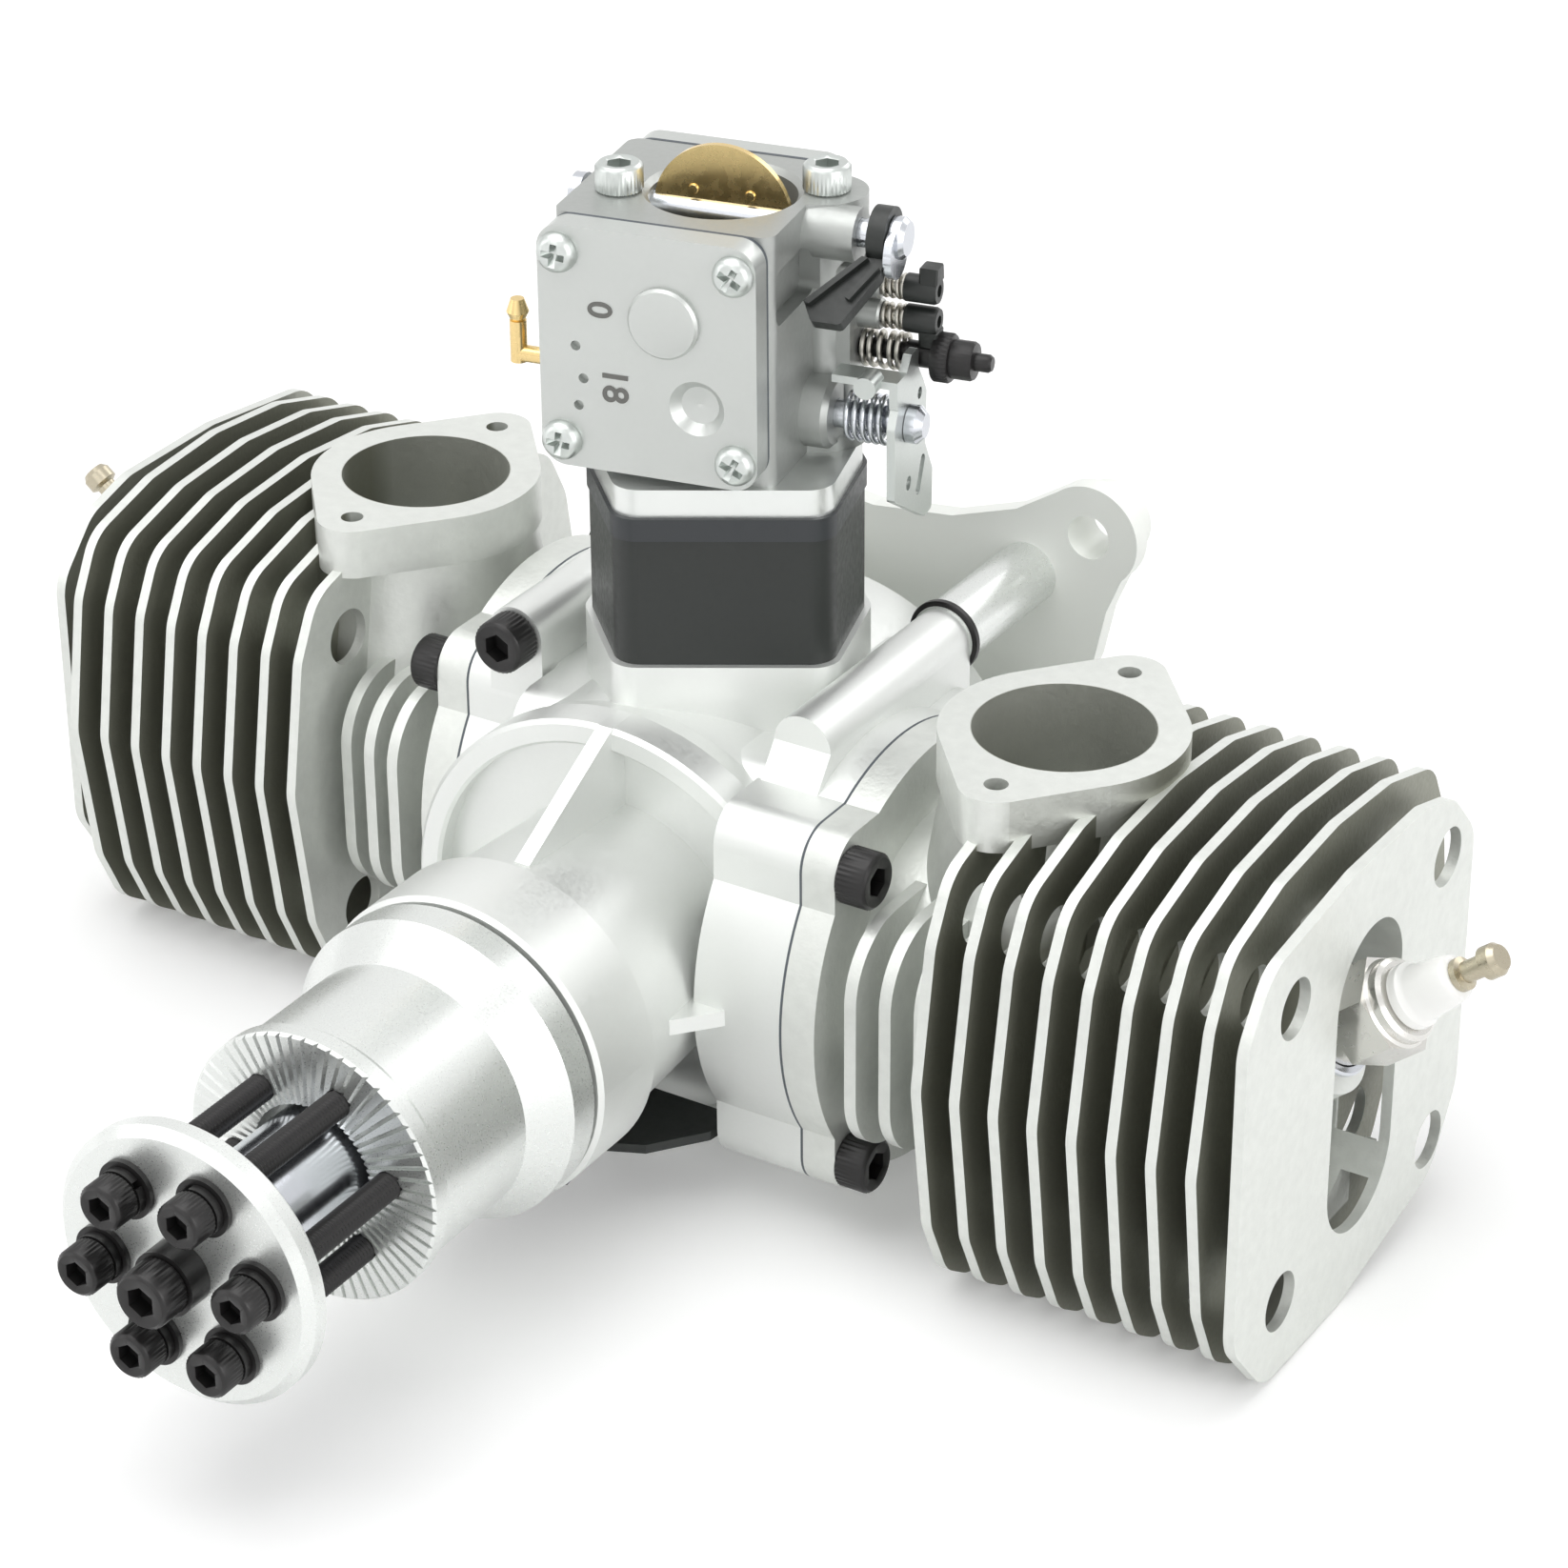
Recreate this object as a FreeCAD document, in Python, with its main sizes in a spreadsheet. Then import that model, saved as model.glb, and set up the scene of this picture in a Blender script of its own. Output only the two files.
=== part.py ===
import FreeCAD, Part
import Sketcher
import os

Vector = FreeCAD.Vector
Rotation = FreeCAD.Rotation
Placement = FreeCAD.Placement

# Flat twin aircraft engine, millimetres.
# +X runs along the right-hand cylinder, +Y from the propeller seat towards the firewall, +Z up.
# The origin is the centre of the propeller seat, on the crank axis.

SIZES = [
    ("mid_y", 128.4, "propeller seat to the middle between the two cylinder axes"),
    ("cyl_offset", 13.7, "cylinder axis to the middle, along the crank axis"),
    ("bore_r", 23.5, "cylinder bore radius"),
    ("crank_throw", 17.5, "crank axis to crankpin axis"),
    ("rod_len", 70, "connecting rod between centres"),
    ("run_gap", 0.3, "clearance between bodies that move apart"),
    ("fit_gap", 0.03, "clearance of located fits"),
    ("slide_gap", 0.05, "radial running clearance of shafts"),
    ("seat_r", 24.8, "propeller seat radius"),
    ("hub_len", 41.4, "propeller hub length"),
    ("hub_neck_r", 23.7, "hub barrel radius"),
    ("hub_rear_r", 28.4, "hub rear flange radius"),
    ("hub_recess_r", 11.8, "recess around the sleeve"),
    ("hub_recess_depth", 6, "depth of that recess"),
    ("serration_count", 60, "radial serrations on the propeller seat"),
    ("serration_depth", 0.7, "depth of a serration"),
    ("serration_width", 1.05, "width of a serration"),
    ("sleeve_r", 10.5, "propeller pilot sleeve radius"),
    ("prop_space", 29.4, "seat to propeller washer"),
    ("washer_r", 25.3, "propeller washer radius"),
    ("washer_thick", 4.9, "propeller washer thickness"),
    ("prop_pcd_r", 15.65, "propeller bolt circle radius"),
    ("prop_bolt_angle", 7.3, "angle of the first propeller bolt"),
    ("m5_r", 2.5, "M5 shank radius"),
    ("m5_head_r", 4.2, "M5 cap head radius"),
    ("m5_head_len", 5, "M5 cap head height"),
    ("m6_r", 3, "M6 shank radius"),
    ("m6_head_r", 5.1, "M6 cap head radius"),
    ("m6_head_len", 6, "M6 cap head height"),
    ("shaft_r", 8.5, "crankshaft journal radius in the nose"),
    ("nose_gap", 0.8, "hub to nose"),
    ("nose_r", 29, "nose front flange radius"),
    ("nose_flange_len", 17, "nose front flange length"),
    ("nose_waist_r", 26.8, "nose radius behind its flange"),
    ("nose_root_r", 25, "nose radius at the crankcase"),
    ("bearing_r", 17.5, "bearing outer radius"),
    ("bearing_w", 11, "bearing width"),
    ("case_r", 40, "crankcase barrel radius"),
    ("join_step", 3.8, "cylinder joint faces outside the barrel"),
    ("rim_step", 1.5, "front rim above the barrel"),
    ("rim_wall", 4.6, "front rim wall"),
    ("case_front", 40.4, "middle to the front rim, along the crank axis"),
    ("pocket_depth", 4, "front pocket depth"),
    ("case_rear", 31.2, "middle to the crankcase rear face"),
    ("web_r", 31, "crank web radius"),
    ("web_thick", 9, "crank web thickness"),
    ("chamber_gap", 1, "crank web to chamber wall"),
    ("rod_w", 13, "connecting rod width"),
    ("pin_r", 8, "crankpin radius"),
    ("big_end_r", 11, "big end radius"),
    ("wrist_r", 5, "wrist pin radius"),
    ("small_end_r", 8, "small end radius"),
    ("crown_h", 19, "wrist pin to piston crown"),
    ("skirt_h", 18, "wrist pin to skirt edge"),
    ("piston_gap", 0.06, "piston to bore"),
    ("flange_half_y", 33.3, "cylinder base half width at its corners"),
    ("flange_drop", 4.5, "flat edges of the cylinder base below the barrel radius"),
    ("flange_round_step", 0.2, "round of the cylinder base above the barrel"),
    ("corner_r", 7, "corner radius of the cylinder base"),
    ("gasket_thick", 0.5, "base gasket"),
    ("base_thick", 6.5, "cylinder base flange thickness"),
    ("base_bolt_side", 4.4, "base screws inside the upright edges of the cylinder base"),
    ("base_bolt_flat", 6.9, "base screws inside the flat edges of the cylinder base"),
    ("access_r", 5.4, "screwdriver holes through the fins"),
    ("liner_wall", 3, "cylinder spigot wall"),
    ("liner_len", 10, "cylinder spigot length"),
    ("barrel_wall", 4, "cylinder barrel wall"),
    ("fin_count", 9, "large fins, end plate included"),
    ("fin_pitch", 7.35, "fin pitch"),
    ("fin_thick", 2, "fin thickness"),
    ("end_plate_x", 135, "crank axis to the face of the end plate"),
    ("fin_corner_r", 9, "fin corner radius"),
    ("small_fin_count", 3, "small fins next to the base"),
    ("small_fin_pitch", 6.1, "small fin pitch"),
    ("small_fin_first", 56.4, "crank axis to the first small fin"),
    ("small_fin_half_y", 39.5, "small fin half width"),
    ("small_fin_half_z", 22.5, "small fin half height"),
    ("exhaust_x", 76, "crank axis to the exhaust axis"),
    ("exhaust_z", 50.5, "crank axis to the exhaust flange face"),
    ("exhaust_r", 15.8, "exhaust bore radius"),
    ("exhaust_flange_r", 21.6, "exhaust flange radius"),
    ("exhaust_flange_thick", 9.5, "exhaust flange thickness"),
    ("exhaust_bolt", 23.4, "exhaust axis to each exhaust screw hole"),
    ("exhaust_ear_r", 6.5, "exhaust flange ear radius"),
    ("m5_tap_r", 2.1, "tapped M5 hole radius"),
    ("chamber_top", 115, "crank axis to the top of the combustion chamber"),
    ("plug_slot_r", 12.3, "plug opening radius"),
    ("plug_slot_half", 17.5, "plug opening half spacing"),
    ("head_floor", 120, "crank axis to the floor of the plug opening"),
    ("plug_angle", 39, "plug axis above the cylinder axis"),
    ("plug_seat_x", 127, "crank axis to the plug seat, along X"),
    ("plug_seat_z", 5.7, "crank axis to the plug seat, along Z"),
    ("plug_hex", 16, "plug hexagon across flats"),
    ("stack_angle", 31, "turn of the intake stack about Z"),
    ("carb_angle", 11.3, "turn of the carburettor about Z"),
    ("pad_step", 8, "intake pad above the barrel"),
    ("stack_front", 23.4, "intake outline, middle to its front and back edges"),
    ("stack_short", 18.6, "intake outline, half length of the front edge"),
    ("stack_long", 24.5, "intake outline, half width at the middle"),
    ("stack_corner_r", 5, "corner radius of the intake outline"),
    ("insulator_h", 24, "insulator block height"),
    ("liner_plate_h", 4.2, "dark gasket plate height"),
    ("adapter_h", 5.2, "aluminium adapter plate height"),
    ("throat_r", 12.9, "carburettor throat radius"),
    ("venturi_r", 11, "narrowest throat radius"),
    ("carb_h", 46, "carburettor body height"),
    ("carb_front", 18.5, "throat axis to the metering gasket"),
    ("carb_back", 17.5, "throat axis to the pump gasket"),
    ("carb_left", 24, "throat axis to the left side"),
    ("carb_right", 15.8, "throat axis to the right side"),
    ("carb_screw", 17.75, "throat axis to each mounting screw"),
    ("ear_r", 7.2, "radius of the ears around the mounting screws"),
    ("cover_thick", 5, "metering cover thickness"),
    ("cover_gasket", 0.8, "cover gasket thickness"),
    ("cover_half_w", 19.8, "metering cover half width"),
    ("cover_margin", 0.8, "cover edges inside the carburettor's height"),
    ("cover_mid_u", -4.7, "throat axis to the middle of the covers"),
    ("cover_screw_u", 15.9, "cover screws from the cover screw centre, across"),
    ("cover_screw_z", 17.3, "cover screws from the cover screw centre, up"),
    ("cover_corner_r", 4.5, "cover corner radius"),
    ("throttle_up", 7.4, "carburettor base to the throttle shaft"),
    ("choke_drop", 4.5, "choke shaft below the top of the carburettor"),
    ("lever_shaft_r", 2.5, "throttle and choke shaft radius"),
    ("plate_thick", 1.2, "butterfly thickness"),
    ("plate_gap", 0.3, "butterfly to throat wall"),
    ("plate_rear_y", 50.5, "middle to the mount plate, along the crank axis"),
    ("plate_t", 4, "mount plate thickness"),
    ("mount_pad_h", 6, "mounting pad height behind the mount plate"),
    ("mount_pad_r", 7.6, "mounting pad radius"),
    ("mount_half_x", 45.6, "mounting holes from the middle"),
    ("mount_top_z", 51.8, "crank axis to the upper mounting holes"),
    ("mount_low_z", 33.5, "crank axis down to the lower mounting holes"),
    ("mount_hole_r", 4.25, "mounting hole radius"),
    ("arm_r", 10, "mount plate radius around a mounting hole"),
    ("stud_x", 33, "case screws from the middle"),
    ("stud_top_step", 1.5, "upper case screws above the barrel radius"),
    ("stud_low_drop", 4.5, "lower case screws inside the barrel radius"),
    ("boss_r", 5.7, "case screw boss radius"),
    ("shoulder_rear", 33.3, "cylinder axis to the rear of the case shoulder"),
]

doc = FreeCAD.newDocument("flat_engine")
sheet = doc.addObject("Spreadsheet::Sheet", "Sizes")


class Size:
    """A number that also carries the spreadsheet formula it comes from."""

    def __init__(self, number, text):
        self.number = float(number)
        self.text = text

    def join(self, other, sign, number):
        other_text = other.text if isinstance(other, Size) else repr(float(other))
        return Size(number, "(" + self.text + " " + sign + " " + other_text + ")")

    def __add__(self, other):
        return self.join(other, "+", self.number + num(other))

    def __radd__(self, other):
        return self + other

    def __sub__(self, other):
        return self.join(other, "-", self.number - num(other))

    def __rsub__(self, other):
        return -self + other

    def __mul__(self, other):
        return self.join(other, "*", self.number * num(other))

    def __rmul__(self, other):
        return self * other

    def __truediv__(self, other):
        return self.join(other, "/", self.number / num(other))

    def __neg__(self):
        return Size(-self.number, "(0 - " + self.text + ")")


def root(value):
    return Size(value.number ** 0.5, "sqrt(" + value.text + ")")


def num(value):
    return value.number if isinstance(value, Size) else float(value)


for row, (alias, number, meaning) in enumerate(SIZES, start=1):
    sheet.set("A" + str(row), meaning)
    sheet.set("B" + str(row), str(number))
    sheet.setAlias("B" + str(row), alias)
doc.recompute()


def size(alias):
    return Size(sheet.get(alias), "Sizes." + alias)


TURNS = {
    "x": Rotation(Vector(0, 1, 0), 90),
    "-x": Rotation(Vector(0, 1, 0), -90),
    "y": Rotation(Vector(1, 0, 0), -90),
    "-y": Rotation(Vector(1, 0, 0), 90),
    "z": Rotation(),
    "-z": Rotation(Vector(1, 0, 0), 180),
}


def bind(item, path, value):
    if isinstance(value, Size):
        item.setExpression(path, value.text)


def place(item, at=(0, 0, 0), turn="z"):
    """Puts an object at a point, its own Z axis along the named axis."""
    rotation = TURNS[turn] if isinstance(turn, str) else turn
    item.Placement = Placement(Vector(*[num(value) for value in at]), rotation)
    for letter, value in zip("xyz", at):
        bind(item, "Placement.Base." + letter, value)
    return item


def rod(name, radius, length, at=(0, 0, 0), turn="z"):
    item = doc.addObject("Part::Cylinder", name)
    item.Radius = num(radius)
    item.Height = num(length)
    bind(item, "Radius", radius)
    bind(item, "Height", length)
    return place(item, at, turn)


def cone(name, radius1, radius2, length, at=(0, 0, 0), turn="z"):
    item = doc.addObject("Part::Cone", name)
    item.Radius1 = num(radius1)
    item.Radius2 = num(radius2)
    item.Height = num(length)
    bind(item, "Radius1", radius1)
    bind(item, "Radius2", radius2)
    bind(item, "Height", length)
    return place(item, at, turn)


def block(name, dims, at=(0, 0, 0), turn="z"):
    """A box by its three lengths and its corner of least x, y and z."""
    item = doc.addObject("Part::Box", name)
    for prop, value in zip(("Length", "Width", "Height"), dims):
        setattr(item, prop, num(value))
        bind(item, prop, value)
    return place(item, at, turn)


def fuse(name, items):
    item = doc.addObject("Part::MultiFuse", name)
    item.Shapes = items
    item.Refine = True
    return item


def common(name, items):
    item = doc.addObject("Part::MultiCommon", name)
    item.Shapes = items
    return item


def cut(name, base, tools):
    item = doc.addObject("Part::Cut", name)
    item.Base = base
    item.Tool = tools[0] if len(tools) == 1 else fuse(name + "_tools", tools)
    item.Refine = True
    return item


def copy_of(name, source, at=(0, 0, 0), turn="z"):
    item = doc.addObject("Part::Compound", name)
    item.Links = [source]
    return place(item, at, turn)


def group(name, items):
    item = doc.addObject("Part::Compound", name)
    item.Links = items
    return item


def body(name, at=(0, 0, 0), turn="z"):
    return place(doc.addObject("PartDesign::Body", name), at, turn)


def origin_plane(owner, role):
    for feature in owner.Origin.OriginFeatures:
        if feature.Role == role:
            return feature
    raise RuntimeError("no plane " + role)


def profile(owner, name, points, role="XZ_Plane", closed=True):
    """A sketch of straight lines whose corners are held by sheet values."""
    sketch = owner.newObject("Sketcher::SketchObject", name)
    sketch.AttachmentSupport = [(origin_plane(owner, role), "")]
    sketch.MapMode = "FlatFace"
    corners = [Vector(num(a), num(b), 0) for a, b in points]
    count = len(corners)
    for index in range(count):
        sketch.addGeometry(Part.LineSegment(corners[index], corners[(index + 1) % count]), False)
    for index in range(count):
        sketch.addConstraint(Sketcher.Constraint("Coincident", index, 2, (index + 1) % count, 1))
    for index, (across, along) in enumerate(points):
        for kind, value in (("DistanceX", across), ("DistanceY", along)):
            row = sketch.addConstraint(Sketcher.Constraint(kind, -1, 1, index, 1, num(value)))
            bind(sketch, "Constraints[" + str(row) + "]", value)
    return sketch


def pad(owner, sketch, length, name, reverse=False, both=False):
    feature = owner.newObject("PartDesign::Pad", name)
    feature.Profile = sketch
    feature.Length = num(length)
    bind(feature, "Length", length)
    feature.Reversed = reverse
    feature.Midplane = both
    return feature


def pocket(owner, sketch, length, name, reverse=False, both=False):
    feature = owner.newObject("PartDesign::Pocket", name)
    feature.Profile = sketch
    feature.Length = num(length)
    bind(feature, "Length", length)
    feature.Reversed = reverse
    feature.Midplane = both
    return feature


def turned(name, points, at=(0, 0, 0), turn="z"):
    """A revolved body; each point is a radius and a height along the body's own Z axis."""
    owner = body(name, at, turn)
    sketch = profile(owner, name + "_profile", points)
    feature = owner.newObject("PartDesign::Revolution", name + "_turn")
    feature.Profile = sketch
    feature.ReferenceAxis = (sketch, ["V_Axis"])
    feature.Angle = 360
    owner.Tip = feature
    return owner


def extruded(name, points, length, at=(0, 0, 0), turn="z", corner=None):
    """A prism along its own Z axis with rounded upright corners."""
    owner = body(name, at, turn)
    sketch = profile(owner, name + "_outline", points, "XY_Plane")
    feature = pad(owner, sketch, length, name + "_pad")
    owner.Tip = feature
    if corner is not None:
        doc.recompute()
        upright = []
        for index, edge in enumerate(feature.Shape.Edges, start=1):
            ends = [vertex.Point for vertex in edge.Vertexes]
            if abs(ends[0].x - ends[1].x) < 1e-6 and abs(ends[0].y - ends[1].y) < 1e-6:
                upright.append("Edge" + str(index))
        rounds = owner.newObject("PartDesign::Fillet", name + "_corners")
        rounds.Base = (feature, upright)
        rounds.Radius = num(corner)
        bind(rounds, "Radius", corner)
        owner.Tip = rounds
    return owner


def rounded_block(name, half_x, half_y, length, corner, at=(0, 0, 0), turn="z", mid=(0, 0)):
    left, right = mid[0] - half_x, mid[0] + half_x
    low, high = mid[1] - half_y, mid[1] + half_y
    points = [(left, low), (right, low), (right, high), (left, high)]
    return extruded(name, points, length, at, turn, corner)


finals = {}


def keep(name, item):
    """Marks an object as the sub-part that is written to NAME.step."""
    item.Label = name
    finals[name] = item
    return item


mid = size("mid_y")
offset = size("cyl_offset")
right_y = mid - offset
left_y = mid + offset
gap = size("run_gap")
fit = size("fit_gap")
slide = size("slide_gap")
case_r = size("case_r")
join_x = case_r + size("join_step")
HALF_TURN = Rotation(Vector(0, 0, 1), 180)


def both_sides(name, source):
    """The same piece on the right, and turned half round the vertical middle line on the left."""
    keep(name + "_right", copy_of(name + "_right", source))
    keep(name + "_left", copy_of(name + "_left", source, (0, mid * 2, 0), HALF_TURN))


# Propeller hub: a turned driver with a ring of fine radial serrations.
hub_len = size("hub_len")
seat_r = size("seat_r")
neck_r = size("hub_neck_r")
rear_r = size("hub_rear_r")
recess_r = size("hub_recess_r")
recess_depth = size("hub_recess_depth")
shaft_r = size("shaft_r")
hub_bore = shaft_r + fit
hub = turned("prop_hub_body", [
    (recess_r, 0), (seat_r - 0.5, 0), (seat_r, 0.5), (seat_r, 3.5), (neck_r, 5),
    (neck_r, hub_len - 14), (rear_r, hub_len - 6.5), (rear_r, hub_len - 0.6), (rear_r - 0.6, hub_len),
    (hub_bore, hub_len), (hub_bore, recess_depth), (recess_r, recess_depth)], turn="y")
PROP_BOLTS = 6
pcd_r = size("prop_pcd_r")
m5_r = size("m5_r")
m5_head_r = size("m5_head_r")
m5_head_len = size("m5_head_len")
first_angle = size("prop_bolt_angle")


def around_crank(name, source, count=PROP_BOLTS):
    """Copies of a piece standing on the propeller bolt circle."""
    copies = []
    for index in range(count):
        item = copy_of(name + "_" + str(index + 1), source)
        item.Placement = Placement(Vector(), Rotation(Vector(0, 1, 0), -first_angle.number - index * 60))
        copies.append(item)
    return group(name, copies)


def on_bolt_circle(name, radius, start, length):
    first = rod(name + "_first", radius, length, (pcd_r, start, 0), "y")
    return around_crank(name, first)


half_width = size("serration_width") / 2
groove = extruded("serration", [
    (-half_width, -0.1), (half_width, -0.1), (0, size("serration_depth"))],
    seat_r - recess_r + 1, (recess_r - 0.3, 0, 0), Rotation(Vector(1, 1, 1), 120))
serrations = []
for index in range(int(sheet.get("serration_count"))):
    item = copy_of("serration_" + str(index + 1), groove)
    item.Placement = Placement(Vector(), Rotation(
        Vector(0, 1, 0), index * 360 / sheet.get("serration_count")))
    serrations.append(item)
serration_ring = group("serration_ring", serrations)
tap_depth = 16
hub_taps = on_bolt_circle("hub_taps", m5_r + fit, -1, tap_depth + 1)
keep("prop_hub", cut("prop_hub", cut("serrated_hub", hub, [serration_ring]), [hub_taps]))

prop_space = size("prop_space")
washer_r = size("washer_r")
washer_thick = size("washer_thick")
washer_front = -prop_space - washer_thick
centre_bolt_r = size("m6_r")
disc = turned("prop_washer_body", [
    (centre_bolt_r + 0.5, washer_front), (washer_r - 1.6, washer_front), (washer_r, washer_front + 1.6),
    (washer_r, -prop_space - 0.6), (washer_r - 0.6, -prop_space), (centre_bolt_r + 0.5, -prop_space)],
    turn="y")
keep("prop_washer", cut("prop_washer", disc, [
    on_bolt_circle("washer_holes", m5_r + 0.25, washer_front - 1, washer_thick + 2)]))

sleeve_r = size("sleeve_r")
keep("prop_sleeve", turned("prop_sleeve", [
    (centre_bolt_r + fit, -prop_space), (sleeve_r - 0.4, -prop_space), (sleeve_r, -prop_space + 0.4),
    (sleeve_r, recess_depth - 0.4), (sleeve_r - 0.4, recess_depth), (centre_bolt_r + fit, recess_depth)],
    turn="y"))

flat_washer = 1
spring_washer = 1.6
head_seat = washer_front - flat_washer - spring_washer


def cap_screw(name, shank_r, head_r, head_len, length, at, turn):
    """A socket cap screw; its local Z runs from under the head down the shank."""
    owner = turned(name, [
        (0, length), (shank_r - 0.5, length), (shank_r, length - 0.5), (shank_r, 0), (head_r, 0),
        (head_r, 0.4 - head_len), (head_r - 0.4, -head_len), (0, -head_len)], at, turn)
    points = []
    across = head_r * 0.55
    for corner in ((1, 0), (0.5, 0.866), (-0.5, 0.866), (-1, 0), (-0.5, -0.866), (0.5, -0.866)):
        points.append((across * corner[0], across * corner[1]))
    socket = profile(owner, name + "_socket", points, "XY_Plane")
    key = pocket(owner, socket, head_len, name + "_key")
    socket.AttachmentOffset = Placement(Vector(0, 0, -num(head_len)), Rotation())
    bind(socket, "AttachmentOffset.Base.z", -head_len)
    key.Length = num(head_len) * 0.55
    bind(key, "Length", head_len * 0.55)
    key.Reversed = True
    owner.Tip = key
    return owner


bolt_reach = 13
keep("prop_bolts", around_crank("prop_bolts", cap_screw(
    "prop_bolt", m5_r, m5_head_r, m5_head_len, -head_seat + bolt_reach, (pcd_r, head_seat, 0), "y")))
flat = turned("prop_flat_washer", [
    (m5_r + 0.1, 0), (m5_head_r + 1, 0), (m5_head_r + 1, flat_washer), (m5_r + 0.1, flat_washer)],
    (pcd_r, washer_front - flat_washer, 0), "y")
keep("prop_flat_washers", around_crank("prop_flat_washers", flat))
spring = turned("prop_spring_washer", [
    (m5_r + 0.1, 0), (m5_head_r + 0.1, 0), (m5_head_r + 0.1, spring_washer), (m5_r + 0.1, spring_washer)],
    (pcd_r, head_seat, 0), "y")
keep("prop_spring_washers", around_crank("prop_spring_washers", spring))
centre_collar = 4.6
centre_seat = washer_front - centre_collar
keep("centre_bolt", cap_screw(
    "centre_bolt", centre_bolt_r, size("m6_head_r"), size("m6_head_len"), -centre_seat + 24,
    (0, centre_seat, 0), "y"))
keep("centre_collar", turned("centre_collar", [
    (centre_bolt_r + 0.1, centre_seat), (size("m6_head_r") + 0.7, centre_seat),
    (size("m6_head_r") + 0.7, washer_front), (centre_bolt_r + 0.1, washer_front)], turn="y"))

# Crankcase: nose, ribbed front, barrel, cylinder shoulders, intake pad and case screw bosses.
nose_front = hub_len + size("nose_gap")
nose_r = size("nose_r")
waist_r = size("nose_waist_r")
root_r = size("nose_root_r")
rim_front = mid - size("case_front")
rim_r = case_r + size("rim_step")
case_back = mid + size("case_rear")
pocket_floor = rim_front + size("pocket_depth")
flange_end = nose_front + size("nose_flange_len")
shell = turned("case_shell", [
    (0, nose_front), (nose_r - 0.8, nose_front), (nose_r, nose_front + 0.8), (nose_r, flange_end - 1),
    (waist_r, flange_end), (root_r, rim_front), (root_r, pocket_floor),
    (rim_r - size("rim_wall"), pocket_floor), (rim_r - size("rim_wall"), rim_front + 0.6),
    (rim_r - size("rim_wall") + 0.6, rim_front), (rim_r - 0.8, rim_front), (rim_r, rim_front + 0.8),
    (rim_r, rim_front + 7), (case_r, rim_front + 12), (case_r, case_back), (0, case_back)], turn="y")

half_y = size("flange_half_y")
half_z = case_r - size("flange_drop")
corner = size("corner_r")
round_r = case_r + size("flange_round_step")


def base_outline(name, thick, at_x):
    """The cylinder joint outline: a rounded square with a round bulge on each edge."""
    square = rounded_block(name + "_square", half_z, half_y, thick, corner, (at_x, right_y, 0), "x")
    return fuse(name, [square, rod(name + "_wheel", round_r, thick, (at_x, right_y, 0), "x")])


shoulder_in = 26.5
shoulder = base_outline("shoulder_end", join_x - shoulder_in, shoulder_in)
case_rear = size("case_rear")
saddle = rounded_block(
    "saddle", half_z, case_rear - 0.1, shoulder_in * 2, corner, (-shoulder_in, mid, 0), "x")

stud_x = size("stud_x")
stud_top = case_r + size("stud_top_step")
stud_low = case_r - size("stud_low_drop")
boss_r = size("boss_r")
shoulder_rear = right_y + size("shoulder_rear")
boss_front = rim_front + 12
boss_top = rod("boss_top", boss_r, shoulder_rear - boss_front, (stud_x, boss_front, stud_top), "y")
web_h = 12
web_slope = 9
boss_web = extruded("boss_web", [
    (web_h - stud_top, boss_front - web_slope), (-stud_top, boss_front), (-stud_top, shoulder_rear),
    (web_h - stud_top, shoulder_rear)], boss_r * 2, (stud_x - boss_r, 0, 0), "x")
boss_low = rod("boss_low", boss_r, shoulder_rear - boss_front, (stud_x, boss_front, -stud_low), "y")
side_right = fuse("side_right", [shoulder, boss_top, boss_web, boss_low])
boss_left_front = mid * 2 - shoulder_rear
boss_left_len = size("shoulder_rear") * 2
boss_left_top = rod("boss_left_top", boss_r, boss_left_len, (-stud_x, boss_left_front, stud_top), "y")
boss_left_web = block("boss_left_web", (boss_r * 2, boss_left_len, web_h),
                      (-stud_x - boss_r, boss_left_front, stud_top - web_h))
boss_left_low = rod("boss_left_low", boss_r, boss_left_len, (-stud_x, boss_left_front, -stud_low), "y")
plate_front = mid + size("plate_rear_y")
plate_space = block("plate_space", (join_x, 20, 50), (-join_x, plate_front - gap, -25))
side_left = fuse("side_left", [
    cut("shoulder_left", copy_of(
        "shoulder_half_turned", shoulder, (0, mid * 2, 0), HALF_TURN), [plate_space]),
    boss_left_top, boss_left_web, boss_left_low])

stack_turn = Rotation(Vector(0, 0, 1), sheet.get("stack_angle"))
stack_front = size("stack_front")
stack_short = size("stack_short")
stack_long = size("stack_long")


def stack_outline(name, height, at_z, inset=0):
    """The six-sided outline that the intake pieces share, turned about the vertical axis."""
    front = stack_front - inset
    short = stack_short - inset * 0.6
    wide = stack_long - inset
    points = [(-short, -front), (short, -front), (wide, 0), (short, front), (-short, front), (-wide, 0)]
    item = extruded(name, points, height, (0, mid, at_z), stack_turn, size("stack_corner_r"))
    bind(item, "Placement.Rotation.Angle", size("stack_angle"))
    return item


pad_z = case_r + size("pad_step")
pad_foot = 20
intake_pad = stack_outline("intake_pad", pad_z - pad_foot, pad_foot, -1.2)

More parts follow.
